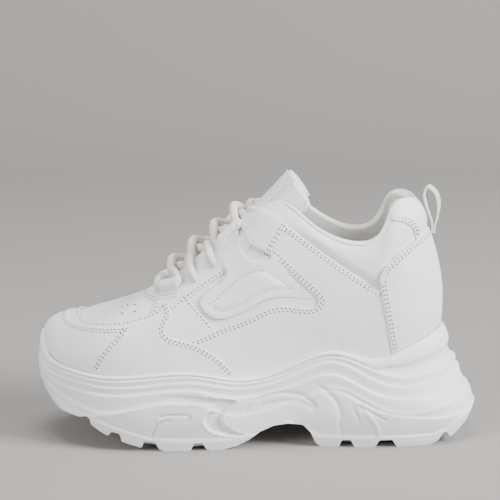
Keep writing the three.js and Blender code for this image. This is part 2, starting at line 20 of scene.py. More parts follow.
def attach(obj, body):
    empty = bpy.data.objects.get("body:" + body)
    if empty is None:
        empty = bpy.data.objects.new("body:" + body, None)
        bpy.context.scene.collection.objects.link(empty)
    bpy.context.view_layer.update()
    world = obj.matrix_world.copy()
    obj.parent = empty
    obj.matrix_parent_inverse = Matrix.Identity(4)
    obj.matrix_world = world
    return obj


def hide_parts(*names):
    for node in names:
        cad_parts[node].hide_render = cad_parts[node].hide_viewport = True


bl_info = {
    "name": "Platform Sneaker",
    "version": (1, 0, 0),
    "blender": (4, 5, 0),
    "location": "View3D > Sidebar > Sneaker",
    "description": "Builds a platform sneaker round its packed frame",
    "category": "Object",
}

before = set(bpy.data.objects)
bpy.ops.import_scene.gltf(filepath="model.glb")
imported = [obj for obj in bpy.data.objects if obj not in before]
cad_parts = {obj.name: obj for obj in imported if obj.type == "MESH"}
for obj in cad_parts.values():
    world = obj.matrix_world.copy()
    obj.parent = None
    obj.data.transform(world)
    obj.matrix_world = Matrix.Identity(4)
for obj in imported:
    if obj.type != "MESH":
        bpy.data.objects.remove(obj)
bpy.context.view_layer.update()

MM = 0.001
BODY = "root"
SHIFT = np.array([0.654, -0.631, 0.0])     # from the pattern card's origin to the frame's


def table(columns, rows):
    """Columns by name, each an array down the rows."""
    return {name: np.array([row[i] for row in rows], float) for i, name in enumerate(columns)}


# The sole's top lip and its moulded lines, heel back first, then outer side, toe, inner side.
# x, y, lip: outer edge of the lip. crease1..3: heights of the moulded lines. pod: top of the
# ribbed outsole. outMid, outLow, outFoot: how far the wall stands out at 42, 22 and 0 mm height.
SOLE = table((
    "x", "y", "lip", "crease1", "crease2", "crease3", "pod", "outMid", "outLow", "outFoot"), (
    (-121.5, 0, 72, 52, 46, 35, 23, 10, 20, 16),
    (-117.0, 17.5, 71, 49, 44, 33, 20, 8, 17, 13),
    (-105.5, 29, 66.5, 46.5, 41, 31.5, 19, 5, 12, 9),
    (-90, 35.8, 60, 46, 40, 32.5, 21.5, 3.5, 8, 6),
    (-72, 38.2, 57, 51.5, 46, 37.5, 27.5, 3, 6.5, 4.5),
    (-50, 38.8, 62, 59, 56, 48, 38, 3, 5.5, 3),
    (-28, 39.6, 56, 53.5, 49.5, 43, 33, 1.5, 2.5, 0),
    (-6, 42.5, 47.6, 45, 42, 36.5, 26, 1, 1.5, -1),
    (16, 46.8, 46.6, 44.2, 41, 35.5, 24, 1, 2.5, 0),
    (38, 50.6, 50.5, 48.5, 45, 40, 32, 1, 2.8, 0),
    (60, 51.8, 50.6, 48.2, 44.3, 39.8, 32, 1, 2.8, 0),
    (80, 50.2, 48.5, 46.1, 42, 37.2, 28, 1.2, 3.2, 0),
    (98.6, 45.2, 47.6, 45.3, 41.6, 36.8, 26, 0.9, 2.7, -0.7),
    (114.4, 36.9, 49.2, 46.9, 43.4, 38.4, 30, 0.6, 0.8, -3.8),
    (128.2, 25, 51.8, 48.9, 44.9, 40.4, 35, 0.6, -2.6, -8.2),
    (136.2, 9.6, 56.8, 51.8, 47.4, 43.6, 38.6, 1.4, -5.8, -12.4),
    (138.6, -7, 66, 56.5, 50.6, 46, 40, 2, -6.5, -13),
    (134, -23.8, 60.5, 54.5, 49, 44.4, 38.6, 1.7, -4.7, -10.7),
    (122.8, -36.8, 52.8, 50.2, 46.2, 41.6, 34.6, 1.5, -0.6, -5.6),
    (107, -44.2, 49.8, 47.6, 44, 39, 30, 2.2, 2.8, -1),
    (88, -49, 49, 46.8, 43, 37.8, 27, 1.6, 3.4, 0),
    (66, -49.4, 50, 47.8, 44, 39.5, 31, 1.2, 3, 0),
    (43, -45.8, 50.5, 48.4, 45, 40, 32, 1, 2.8, 0),
    (20, -40, 48, 45.5, 42, 37, 26, 1, 2.2, 0),
    (-3, -36, 49, 46.5, 43, 38, 27, 1, 1.5, -1),
    (-26, -34.6, 56, 53.5, 49.5, 43, 33, 1.5, 2.5, 0),
    (-49, -35.6, 61.5, 58.5, 55.5, 47.5, 38, 3, 5.5, 3),
    (-71, -37, 57, 51.5, 46, 37.5, 27.5, 3, 6.5, 4.5),
    (-90, -34.6, 60, 46, 40, 32.5, 21.5, 3.5, 8, 6),
    (-105.5, -28.4, 66.5, 46.5, 41, 31.5, 19, 5, 12, 9),
    (-117, -17, 71, 49, 44, 33, 20, 8, 17, 13),
))

# The upper at the same stations. x, y, z: the collar and throat edge. lean, rise: the wall's
# angle outwards and reach as it leaves the lip. fall, reach: the same where it arrives at the
# edge. pad: wall thickness at the edge.
UPPER = table(("x", "y", "z", "lean", "rise", "fall", "reach", "pad"), (
    (-103.5, 0, 153.5, 12, 26, 67, 26, 7),
    (-101, 12, 154.8, 12, 26, 68, 26, 7),
    (-94.5, 20.5, 155.6, 11, 27, 72, 26, 7.5),
    (-86, 27, 149, 10, 27, 76, 26, 8.5),
    (-75.5, 31, 131.5, 8, 24, 78, 22, 9),
    (-54, 32.3, 131, 7, 24, 76, 22, 9),
    (-33, 31.3, 143.5, 3, 28, 70, 26, 8),
    (-14, 27.5, 156.5, 0, 34, 62, 34, 5.5),
    (5, 21.5, 147, -2, 34, 56, 32, 3),
    (22, 18, 133, -3, 32, 52, 28, 3),
    (38, 15.5, 118.5, -3, 32, 46, 27, 3),
    (51, 13.6, 107.4, -2, 32, 38, 26, 3),
    (60.5, 10.6, 101.6, 0, 31, 29, 28, 3),
    (65.2, 6.2, 98.4, 1, 27, 25, 34, 3),
    (66.8, 2.6, 97, 3, 20, 24, 40, 3),
    (67.3, 0.2, 96.2, 5, 17, 23, 43, 3),
    (67.3, -2.2, 95.6, 5, 12, 23, 43, 3),
    (66.8, -4.6, 95.2, 4, 15, 23, 40, 3),
    (65.2, -8.2, 94.8, 2, 21, 26, 34, 3),
    (60.5, -12.6, 96, 0, 28, 31, 28, 3),
    (51, -15, 101.5, -2, 31, 38, 26, 3),
    (38, -16.5, 112.5, -3, 32, 46, 27, 3),
    (22, -18.5, 127.5, -5, 33, 52, 29, 3),
    (5, -21.5, 143.6, -3, 34, 57, 32, 3),
    (-14, -27.5, 152.8, 2, 34, 63, 34, 5.5),
    (-33, -31, 143.5, 5, 29, 72, 27, 8),
    (-54, -32, 131, 7, 24, 76, 22, 9),
    (-75.5, -30.5, 131.5, 8, 24, 78, 22, 9),
    (-86, -26.5, 148.5, 10, 27, 76, 26, 8.5),
    (-94.5, -20, 154.8, 11, 27, 72, 26, 7.5),
    (-101, -11.5, 154.6, 12, 26, 68, 26, 7),
))

# Heights along the length: seat, where the upper stands in the sole, and the foot's bed.
LENGTHWISE = table(("x", "seat", "bed", "dish"), (
    (-126, 61, 86, 2.5),
    (-100, 54, 84.5, 2.5),
    (-74, 50, 79, 2.5),
    (-48, 50.5, 72, 2.5),
    (-22, 45, 62.5, 2.2),
    (4, 40, 54, 1.8),
    (30, 39, 48.5, 1.4),
    (56, 40, 46, 1),
    (82, 40.5, 46, 1),
    (108, 43.5, 49.5, 1),
    (134, 52.5, 58.5, 1),
))

# The tongue from its hidden front end up to its top edge. crown: the middle of its face.
# edge, half: its side edge. thick: its padding.
TONGUE = table(("crownX", "crownZ", "edgeX", "edgeZ", "half", "thick"), (
    (76, 87.6, 75, 83, 13, 4),
    (60, 95, 57, 86, 16.5, 4.5),
    (42, 112.4, 38, 100, 18, 5),
    (22, 129, 17, 113.5, 20, 5.5),
    (5, 144, -2, 126.5, 20.5, 6.5),
    (-8, 156.6, -18, 139.5, 20.5, 7.5),
    (-18.5, 168, -31, 149.5, 21.5, 8),
    (-21.5, 171.5, -35, 152.5, 22, 6),
))

# Side view of the tread, from the toe back to the heel: lugs, grooves, arch and toe spring.
TREAD = (
    (150, 200), (150, 62), (141.5, 50), (140, 40), (136, 30.5), (131, 25), (124, 21.5),
    (112, 20.2), (107, 21.6), (105, 20), (104.4, 16.4), (98, 12), (93, 9.6), (91.6, 15), (86, 14),
    (84.6, 6.2), (72, 2.2), (70.4, 8.4), (63.6, 7.8), (61, 1.4), (58, 0), (41, 0), (39, 7),
    (33.6, 7), (31, .6), (28, 0), (20, 0), (12, 2), (4, 6), (-3, 11), (-12, 14.8), (-21, 16),
    (-30, 14.8), (-35, 10), (-38, 3), (-41, 0), (-53, 0), (-55, 7), (-60.5, 7), (-63, 0),
    (-76, 0), (-79, 7), (-87, 7), (-90, 0), (-112, 0), (-117, 2.6), (-120.4, 9.4), (-122.6, 9.4),
    (-125, 2.6), (-135, 12), (-139, 19), (-150, 30), (-160, 40), (-160, 200),
)

# Side view of the two outsole pieces that wrap up the wall under the midsole.
FOREFOOT_SHELL = (
    (160, -10), (160, 46), (141, 45), (129, 38.5), (119, 34.5), (111, 30), (102, 26.5),
    (92, 25.6), (80, 28.2), (67, 32.6), (54, 33.6), (42, 33.4), (32, 31.8), (26, 29.2), (23, 25),
    (22.4, 20.5), (18, 17.4), (10, 14.6), (3, 11.8), (-1, 8), (-6, -10),
)
HEEL_SHELL = (
    (-34.4, -10), (-35, 12), (-37.4, 22), (-38.6, 32), (-41, 38.6), (-46, 40.4), (-53, 38.6),
    (-62, 34), (-72, 29.4), (-81, 25.6), (-91, 23.4), (-103, 21.6), (-113, 20.4), (-122, 21),
    (-130, 23.6), (-140, 29), (-160, 36), (-160, -10),
)

STATIONS = len(SOLE["x"])
RIM_WALL = 2.6            # the sole's lip round the upper
CLEARANCE = 0.3           # between pieces that touch
WALL_INSET = RIM_WALL + CLEARANCE
UPPER_WALL = 2.4          # leather, foam and lining together
LOW_HEIGHT = 22.0         # heights where the sole table gives the wall's stand-out
MID_HEIGHT = 42.0
INSOLE_MARGIN = 0.8
BASE_SINK = 0.9           # ground leather under the overlays, in from the last's outer face
LEATHER = 1.0             # thickness of the ground leather


# ---------- smooth columns ----------
def ring_column(values):
    """Periodic cubic through values at whole stations."""
    count = len(values)
    near = np.roll(np.eye(count), 1, 0) + np.roll(np.eye(count), -1, 0)
    pull = 6 * (np.roll(values, 1) - 2 * values + np.roll(values, -1))
    bend = np.linalg.solve(4 * np.eye(count) + near, pull)

    def at(u):
        whole = np.floor(u).astype(int)
        f = u - whole
        g = 1 - f
        i, j = whole % count, (whole + 1) % count
        line = g * values[i] + f * values[j]
        return line + ((g ** 3 - g) * bend[i] + (f ** 3 - f) * bend[j]) / 6
    return at


def open_column(xs, ys):
    """Cubic through (x, y) pairs with chord slopes. Each knot may be an array."""
    xs = [np.asarray(x, float) for x in xs]
    ys = [np.asarray(y, float) for y in ys]
    last = len(xs) - 1
    slope = []
    for i in range(last + 1):
        a, b = max(0, i - 1), min(last, i + 1)
        slope.append((ys[b] - ys[a]) / (xs[b] - xs[a]))

    def at(x):
        out = None
        for i in range(last):
            span = xs[i + 1] - xs[i]
            f = np.clip((x - xs[i]) / span, 0, 1)
            g = 1 - f
            piece = (ys[i] * (1 + 2 * f) * g * g + ys[i + 1] * (1 + 2 * g) * f * f
                     + span * f * g * (slope[i] * g - slope[i + 1] * f))
            out = piece if out is None else np.where(x > xs[i], piece, out)
        return out
    return at


sole = {name: ring_column(values) for name, values in SOLE.items()}
upper = {name: ring_column(values) for name, values in UPPER.items()}
along = {name: open_column(LENGTHWISE["x"], values) for name, values in LENGTHWISE.items()}
tongue = {name: open_column(np.arange(len(values)), values) for name, values in TONGUE.items()}


def stack(x, y, z):
    return np.stack(np.broadcast_arrays(x, y, z), -1)


def unit(v):
    return v / np.maximum(np.linalg.norm(v, axis=-1, keepdims=True), 1e-9)


def smooth(x):
    """0 below 0, 1 above 1, and an S between them."""
    x = np.clip(x, 0, 1)
    return x * x * (3 - 2 * x)


def quarter_round(x):
    """0 at 0, rising steeply and levelling off at 1, as a rounded edge does."""
    return np.sqrt(1 - (1 - np.clip(x, 0, 1)) ** 2)


def stations(count):
    return np.arange(count) * STATIONS / count


def mirrored(route):
    """A route on the outer side, as it is on the inner side."""
    return tuple((STATIONS - u, t) for u, t in route)


# ---------- the last ----------
def plan_out(u):
    """Unit vector out of the shoe in plan."""
    step = 0.02
    dx = sole["x"](u + step) - sole["x"](u - step)
    dy = sole["y"](u + step) - sole["y"](u - step)
    return unit(stack(-dy, dx, 0 * dx))


def inset_point(u, inset, z):
    """The lip's edge moved in by a distance, at a height."""
    out = plan_out(u)
    return stack(sole["x"](u) - out[..., 0] * inset, sole["y"](u) - out[..., 1] * inset, z)


def seat_height(u, inset):
    p = inset_point(u, inset, 0.0)
    return along["seat"](p[..., 0]) + CLEARANCE


def upper_face(u, t):
    """Outer face of the upper, as lasted."""
    u, t = np.broadcast_arrays(np.asarray(u, float), np.asarray(t, float))
    foot = inset_point(u, WALL_INSET, sole["lip"](u))
    edge = stack(upper["x"](u), upper["y"](u), upper["z"](u))
    lean, fall = np.radians(upper["lean"](u)), np.radians(upper["fall"](u))
    out = plan_out(u)
    leave = stack(out[..., 0] * np.sin(lean), out[..., 1] * np.sin(lean), np.cos(lean))
    level = unit((foot - edge) * [1, 1, 0])
    arrive = stack(level[..., 0] * np.cos(fall), level[..., 1] * np.cos(fall), -np.sin(fall))
    low = foot + leave * upper["rise"](u)[..., None]
    high = edge + arrive * upper["reach"](u)[..., None]
    f = t[..., None]
    g = 1 - f
    return g ** 3 * foot + 3 * g * g * f * low + 3 * g * f * f * high + f ** 3 * edge


def upper_normal(u, t):
    step = 0.03
    u, t = np.broadcast_arrays(np.asarray(u, float), np.asarray(t, float))
    a, b = np.clip(t - step, 0, 1), np.clip(t + step, 0, 1)
    rise = upper_face(u, b) - upper_face(u, a)
    around = upper_face(u + step, t) - upper_face(u - step, t)
    return unit(np.cross(rise, around))


def off_upper(u, t, distance):
    """A point off the outer face: positive is outside, negative inside."""
    u, t, distance = np.broadcast_arrays(np.asarray(u, float), t, distance)
    return upper_face(u, t) + upper_normal(u, t) * distance[..., None]


def upper_wall(u, t):
    return UPPER_WALL + (upper["pad"](u) - UPPER_WALL) * smooth((t - 0.5) / 0.4)


# ---------- lines on the upper ----------
CARD_SCALE = np.array([20.0, 100.0])    # about how many mm one station and the whole height are


def through(points, closed, per_span=10):
    """Rounded line through points: centripetal, so that it doesn't overshoot."""
    points = np.asarray(points, float)
    if len(points) == 2 and not closed:
        return points[:1] + (points[1:] - points[:1]) * np.linspace(0, 1, per_span + 1)[:, None]
    if closed:
        ring = np.vstack([points[-1:], points, points[:2]])
    else:
        ring = np.vstack([2 * points[:1] - points[1:2], points, 2 * points[-1:] - points[-2:-1]])
    out = []
    weight = np.ones(3) if points.shape[1] == 3 else CARD_SCALE
    for i in range(1, len(ring) - 2):
        p0, p1, p2, p3 = ring[i - 1:i + 3]
        k = np.cumsum([0.0] + [max(np.linalg.norm((b - a) * weight), 1e-6) ** 0.5
                               for a, b in ((p0, p1), (p1, p2), (p2, p3))])
        x = np.linspace(k[1], k[2], per_span, endpoint=False)[:, None]
        a1 = (k[1] - x) / (k[1] - k[0]) * p0 + (x - k[0]) / (k[1] - k[0]) * p1
        a2 = (k[2] - x) / (k[2] - k[1]) * p1 + (x - k[1]) / (k[2] - k[1]) * p2
        a3 = (k[3] - x) / (k[3] - k[2]) * p2 + (x - k[2]) / (k[3] - k[2]) * p3
        b1 = (k[2] - x) / (k[2] - k[0]) * a1 + (x - k[0]) / (k[2] - k[0]) * a2
        b2 = (k[3] - x) / (k[3] - k[1]) * a2 + (x - k[1]) / (k[3] - k[1]) * a3
        out.append((k[2] - x) / (k[2] - k[1]) * b1 + (x - k[1]) / (k[2] - k[1]) * b2)
    if not closed:
        out.append(points[-1:])
    return np.vstack(out)


def even(line, place, spacing, closed=False):
    """The line's points put at even spacing of its real length."""
    if closed:
        line = np.vstack([line, line[:1]])
    steps = np.linalg.norm(np.diff(place(line), axis=0), axis=1)
    run = np.concatenate([[0], np.cumsum(steps)])
    count = max(2, int(round(run[-1] / spacing)) + 1)
    at = np.linspace(0, run[-1], count)
    made = np.stack([np.interp(at, run, line[:, i]) for i in range(line.shape[1])], -1)
    return made[:-1] if closed else made


def on_face(line):
    return upper_face(line[:, 0], line[:, 1])


def route(points, closed=False, spacing=1.3):
    """An evenly spaced line on the upper. A point given twice is a corner."""
    points = [tuple(p) for p in points]
    corners = [i for i in range(len(points) - 1) if points[i] == points[i + 1]]
    if not corners:
        return even(through(points, closed), on_face, spacing, closed)
    if closed:
        turn = corners[0] + 1
        points = points[turn:] + points[:turn]
        corners = [i for i in range(len(points) - 1) if points[i] == points[i + 1]]
        points = points + points[:1] if points[-1] != points[0] else points
    runs, start = [], 0
    for end in corners + [len(points) - 1]:
        runs.append(points[start:end + 1])
        start = end + 1
    lines = [even(through(run, False), on_face, spacing) for run in runs if len(run) > 1]
    joined = np.vstack([line[:-1] for line in lines] + [lines[-1][-1:]])
    return joined[:-1] if closed else joined


def signed_area(line):
    x, y = line[:, 0], line[:, 1]
    return 0.5 * np.sum(x * np.roll(y, -1) - np.roll(x, -1) * y)


def moved(line, distance, closed=False, step=0.6):
    """The line moved sideways over the upper: inwards, for a closed counter-clockwise one."""
    rounds = max(1, math.ceil(abs(distance) / step))
    h = 0.01
    for _ in range(rounds):
        here = on_face(line)
        if closed:
            run = np.roll(here, -1, 0) - np.roll(here, 1, 0)
        else:
            run = np.gradient(here, axis=0)
        side = unit(np.cross(run, upper_normal(line[:, 0], line[:, 1])))
        u, t = line[:, 0], line[:, 1]
        pu = (upper_face(u + h, t) - upper_face(u - h, t)) / (2 * h)
        pt = (upper_face(u, t + h) - upper_face(u, t - h)) / (2 * h)
        uu, ut, tt = (pu * pu).sum(1), (pu * pt).sum(1), (pt * pt).sum(1)
        su, st = (side * pu).sum(1), (side * pt).sum(1)
        det = uu * tt - ut * ut
        go = np.stack([(su * tt - st * ut) / det, (st * uu - su * ut) / det], -1)
        line = line + go * distance / rounds
    return line


def distance_to(points, line):
    """Distance of each point to a line of points."""
    best = np.full(points.shape[:-1], 1e9)
    for a, b in zip(line[:-1], line[1:]):
        run = b - a
        f = np.clip(((points - a) @ run) / max(run @ run, 1e-9), 0, 1)
        gap = points - a - f[..., None] * run
        best = np.minimum(best, (gap * gap).sum(-1))
    return np.sqrt(best)


def within(points, loop):
    """Which (x, y) points a closed loop holds."""
    x, y = points[..., 0], points[..., 1]
    inside = np.zeros(x.shape, bool)
    for (x0, y0), (x1, y1) in zip(loop, np.roll(loop, -1, 0)):
        if y0 != y1:
            crosses = (y0 > y) != (y1 > y)
            inside ^= crosses & (x < (x1 - x0) * (y - y0) / (y1 - y0) + x0)
    return inside


# ---------- seams and panel edges on the outer side, as (station, height) ----------
TOE_CAP_EDGE = (
    (15.5, .432), (15, .442), (14.5, .454), (13.84, .448), (13.1, .421), (12.4, .403),
    (11.75, .402), (11.46, .395), (11.36, .355), (11.41, .288), (11.6, .212), (11.83, .13),
    (12.03, .05), (12.15, -.02),
)
VAMP_EDGE = (
    (15.5, .535), (14.9, .54), (14.3, .531), (13.56, .502), (12.89, .478), (12.2, .469),
    (11.61, .475), (11.17, .495), (10.81, .508), (10.6, .53), (10.4, .575),
)
SIDE_EDGE = (
    (10.35, .588), (10.11, .517), (9.99, .47), (9.96, .425), (10, .372), (10.02, .318),
    (9.94, .28), (9.79, .25), (9.54, .225), (9.3, .208), (9.06, .19), (8.78, .165), (8.51, .137),
    (8.24, .1), (7.98, .052), (7.72, -.02),
)
WINDOW_EDGE = (
    (9.4, .19), (9.18, .212), (8.9, .236), (8.64, .262), (8.41, .287), (8.11, .309), (7.82, .325),
    (7.52, .341), (7.23, .358), (6.91, .378), (6.62, .39), (6.33, .39), (5.99, .38), (5.74, .375),
    (5.55, .39), (5.47, .425), (5.52, .46), (5.67, .495), (5.93, .54), (6.25, .588), (6.59, .632),
    (6.94, .675), (7.21, .707),
)
COLLAR_EDGE = (
    (6.59, .873), (6.14, .868), (5.69, .857), (5.24, .825), (4.81, .768), (4.37, .69),
    (3.67, .537),
)
COUNTER_EDGE = (
    (3.13, -.02), (3.2, .03), (3.29, .128), (3.41, .275), (3.55, .43), (3.66, .578), (3.68, .64),
    (3.53, .68), (3.18, .676), (2.59, .674), (1.86, .7), (.95, .74), (0, .765),
)
HEEL_TAB_EDGE = (
    (3.08, 1), (3.05, .95), (2.6, .875), (2.17, .815), (1.88, .758), (1.8, .7), (1.8, .66),
)
TRIANGLE = (
    (10.45, .53), (10.24, .549), (9.98, .58), (9.7, .6), (9.7, .6), (9.43, .517), (9, .408),
    (8.64, .325), (8.35, .265), (8.35, .265), (8.7, .2), (9.4, .17), (9.4, .17), (9.9, .22),
    (10.2, .3), (10.2, .42), (10.45, .53),
)
WING_LOW = (
    (9.06, .5), (9.07, .47), (8.96, .43), (8.77, .388), (8.53, .357), (8.31, .35), (8.07, .357),
    (7.77, .375), (7.44, .395), (7.12, .42), (6.8, .435), (6.45, .443), (6, .445),
)
WING_HIDDEN = (
    (5.55, .45), (5.6, .55), (6.1, .62), (6.5, .655), (6.85, .685),
)
WING_HIGH = (
    (6.95, .652), (7.17, .645), (7.5, .662), (7.78, .718), (7.96, .77), (8.06, .83), (8.1, .88),
    (8.14, .93), (8.14, .93), (8.66, .93), (8.66, .93), (8.74, .905), (8.84, .87), (8.85, .82),
    (8.6, .735), (8.43, .68), (8.34, .64), (8.34, .61), (8.45, .588), (8.69, .565), (8.93, .537),
)
LEAF = (
    (8.71, .443), (8.54, .478), (8.08, .55), (7.6, .588), (7.17, .593), (6.83, .57), (6.5, .53),
    (6.22, .498), (6.22, .498), (6.66, .487), (7.19, .46), (7.85, .415), (8.24, .4), (8.52, .413),
)
EYESTAY = (
    (13.3, .99), (12.95, .93), (12.47, .865), (11.75, .785), (11.21, .713), (10.88, .63),
    (10.8, .53), (10.75, .47), (10.75, .47), (10.2, .44), (9.8, .5), (9.55, .54), (9.43, .562),
    (9.18, .59), (8.91, .613), (8.62, .633), (8.37, .655), (7.8, .72), (7.25, .82), (7.2, .99),
    (7.2, .99), (9, .99), (11, .99), (13.3, .99),
)
STRAP = (
    (7.66, .765), (8, .89), (8.14, .955), (8.02, .985), (7.7, .988), (7.35, .955), (7.05, .917),
    (6.55, .877), (6.55, .877), (6.72, .78), (6.93, .682), (6.93, .682), (7.21, .707),
    (7.46, .738),
)

# Panel faces above the ground leather, mm.
QUARTER_HEIGHT = 1.0
TRIANGLE_HEIGHT = 0.8
EYESTAY_HEIGHT = 0.9
SIDE_HEIGHT = 1.6
CAP_HEIGHT = 2.2
COUNTER_HEIGHT = 1.9
HEEL_TAB_HEIGHT = 1.0
STRAP_HEIGHT = 2.0
WING_HEIGHT = 2.2


def wing_height(u, t):
    """The wing stands out most at the laces and runs flat towards the quarter."""
    arm = 1 - 0.5 * smooth((t - .72) / .12)
    return 0.25 + (WING_HEIGHT - 0.25) * smooth((u - 5.9) / 1.7) * arm


# Soft folds pressed into the upper by the last and by handling: a route, its depth (negative for
# a ridge) and its half width, mm.
FOLDS = (
    (((10.6, .3), (10.3, .2), (10.2, .1)), 0.35, 4.0),
    (((9.7, .16), (9.2, .1), (8.9, .04)), 0.3, 5.0),
    (((12.9, .3), (13.2, .22), (13.6, .16)), 0.35, 5.0),
    (((12.4, .62), (13.2, .55), (14.2, .52), (15.5, .51)), 0.3, 5.0),
    (((11.4, .62), (12.2, .7), (13.0, .74)), -0.3, 6.0),
    (((5.0, .3), (4.5, .42), (4.2, .55)), 0.35, 6.0),
    (((6.7, .25), (6.2, .2), (5.6, .17)), 0.3, 5.0),
    (((3.95, .6), (4.5, .74), (5.1, .83), (5.7, .885)), 0.7, 3.0),
    (((4.2, .8), (4.7, .86), (5.2, .9)), 0.3, 3.5),
    (((2.2, .45), (1.4, .5), (.6, .52)), -0.25, 8.0),
    (((1.6, .3), (1.0, .2), (.2, .16)), 0.25, 6.0),
)

FOLD_LINES = []
for fold_route, fold_depth, fold_half in FOLDS:
    for side_route in (fold_route, mirrored(fold_route)):
        FOLD_LINES.append((on_face(route(side_route, spacing=3)), fold_depth, fold_half))

# Where the padded collar starts below the topline, by station, and how full it is.
COLLAR_PAD = table(("u", "foot", "full"), (
    (0, .8, .8), (1.8, .74, .9), (3.2, .68, 1), (3.67, .56, 1), (4.37, .7, 1), (4.81, .775, 1),
    (5.24, .83, 1), (5.69, .862, .9), (6.2, .88, .4), (6.8, .9, 0), (15.5, .9, 0),
))


def outer_station(u):
    """The station of the same place on the outer side."""
    u = np.mod(u, STATIONS)
    return np.minimum(u, STATIONS - u)


def form(u, t):
    """The ground leather, off the lasted face: the collar's padding and the soft folds."""
    u, t = np.broadcast_arrays(np.asarray(u, float), np.asarray(t, float))
    side = outer_station(u)
    foot = np.interp(side, COLLAR_PAD["u"], COLLAR_PAD["foot"])
    full = np.interp(side, COLLAR_PAD["u"], COLLAR_PAD["full"])
    share = np.clip((t - foot) / (1 - foot), 0, 1)
    height = -BASE_SINK + full * 2.3 * np.sin(math.pi * share ** 0.85) ** 0.8
    place = upper_face(u, t)
    for line, depth, half in FOLD_LINES:
        near = distance_to(place, line)
        height = height - depth * np.exp(-(near / half) ** 2)
    return height


LIP_ROOM = 0.12           # an overlay's room under the sole's lip, mm, and how fast it opens
LIP_OPENS = 55.0


def raised(u, t, lift):
    """A point above the ground leather. Overlays are drawn in under the sole's lip."""
    u, t, lift = np.broadcast_arrays(np.asarray(u, float), t, lift)
    ground = form(u, t)
    room = np.maximum(ground, LIP_ROOM + LIP_OPENS * np.maximum(t, 0))
    return off_upper(u, t, np.minimum(ground + lift, room))


# ---------- meshes ----------
def grid(rows, count, ring=False):
    """Quads between rows of count points each. ring joins the last row to the first."""
    i = np.arange(count)
    j = (i + 1) % count
    quads = []
    for r in range(rows if ring else rows - 1):
        a, b = r * count, ((r + 1) % rows) * count
        quads.append(np.stack([a + i, a + j, b + j, b + i], -1))
    return np.vstack(quads).tolist()


def end_caps(total, count):
    """The two faces that close a stack of rings, count points in each."""
    return [list(range(count)), [total - 1 - i for i in range(count)]]


def without_repeats(corners, flip):
    """The face on these corners with doubled ones dropped, or no face if too few are left."""
    kept = [c for n, c in enumerate(corners) if c != corners[n - 1]]
    return [kept[::-1] if flip else kept] if len(set(kept)) > 2 else []


def around(count):
    """Even angles round a full turn."""
    return np.arange(count) * 2 * math.pi / count


def add_object(name, mesh, material, slot):
    """A finished piece in the frame, riding on the shoe."""
    piece = bpy.data.objects.new(name, mesh)
    bpy.context.scene.collection.objects.link(piece)
    mesh.materials.clear()
    mesh.materials.append(material)
    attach(piece, BODY)
    return piece


def mesh_from(name, points, faces, weld=True, marks=None):
    """A smooth-shaded mesh from card points in mm, its faces turned outwards.

    marks: {name: three numbers for each point}, kept as attributes for its material."""
    mesh = bpy.data.meshes.new(name)
    mesh.from_pydata(((np.asarray(points) + SHIFT) * MM).tolist(), [], [list(f) for f in faces])
    for label, values in (marks or {}).items():
        stored = mesh.attributes.new(label, "FLOAT_VECTOR", "POINT")
        stored.data.foreach_set("vector", np.asarray(values, np.float32).ravel())
    work = bmesh.new()
    work.from_mesh(mesh)
    if weld:
        bmesh.ops.remove_doubles(work, verts=work.verts, dist=2e-6)
        bmesh.ops.dissolve_degenerate(work, edges=work.edges, dist=1e-6)
    bmesh.ops.recalc_face_normals(work, faces=work.faces)
    if work.calc_volume(signed=True) < 0:
        bmesh.ops.reverse_faces(work, faces=work.faces)
    work.to_mesh(mesh)
    work.free()
    finish_shading(mesh)
    return mesh


def finish_shading(mesh):
    """Smooth faces with a crisp edge wherever they turn by more than 50 degrees."""
    mesh.polygons.foreach_set("use_smooth", [True] * len(mesh.polygons))
    mesh.set_sharp_from_angle(angle=math.radians(50))
    mesh.update()


def joined(parts):
    """Several (points, faces) as one."""
    points, faces, start = [], [], 0
    for part_points, part_faces in parts:
        points.append(part_points)
        faces += [[i + start for i in face] for face in part_faces]
        start += len(part_points)
    return np.vstack(points), faces


def tube(centre, radius, sides, up):
    """(points, faces) of a capped tube along a line. radius may change along it."""
    radius = np.broadcast_to(radius, (len(centre),))
    run = unit(np.gradient(centre, axis=0))
    sideways = unit(np.cross(run, np.broadcast_to(np.asarray(up, float), centre.shape)))
    rise = np.cross(sideways, run)
    angle = around(sides)[None, :, None]
    ring = sideways[:, None] * np.cos(angle) + rise[:, None] * np.sin(angle)
    points = (centre[:, None] + ring * radius[:, None, None]).reshape(-1, 3)
    return points, grid(len(centre), sides) + end_caps(len(points), sides)


def boolean(mesh_a, mesh_b, kind, name):
    """mesh_a cut, or kept, by mesh_b, both closed."""
    a = bpy.data.objects.new("cut_from", mesh_a)
    b = bpy.data.objects.new("cut_by", mesh_b)
    for o in (a, b):
        bpy.context.scene.collection.objects.link(o)
    step = a.modifiers.new("cut", "BOOLEAN")
    step.operation = kind
    step.solver = "MANIFOLD"
    step.object = b
    bpy.context.view_layer.update()
    graph = bpy.context.evaluated_depsgraph_get()
    made = bpy.data.meshes.new_from_object(a.evaluated_get(graph), depsgraph=graph)
    for o in (a, b):
        bpy.data.objects.remove(o)
    if not made.polygons:
        raise RuntimeError(f"{name}: the cut left nothing")
    made.name = name
    finish_shading(made)
    return made


def fillet(outline, radius):
    """A closed outline with its corners rounded."""
    points = np.asarray(outline, float)
    made = []
    for before, here, after in zip(np.roll(points, 1, 0), points, np.roll(points, -1, 0)):
        a, b = before - here, after - here
        la, lb = np.linalg.norm(a), np.linalg.norm(b)
        bend = math.acos(np.clip((a @ b) / (la * lb), -1, 1))
        reach = min(radius / max(math.tan(bend / 2), 0.05), 0.45 * la, 0.45 * lb)
        p, q = here + a / la * reach, here + b / lb * reach
        for f in np.linspace(0, 1, 5):
            made.append((1 - f) ** 2 * p + 2 * f * (1 - f) * here + f * f * q)
    return np.array(made)


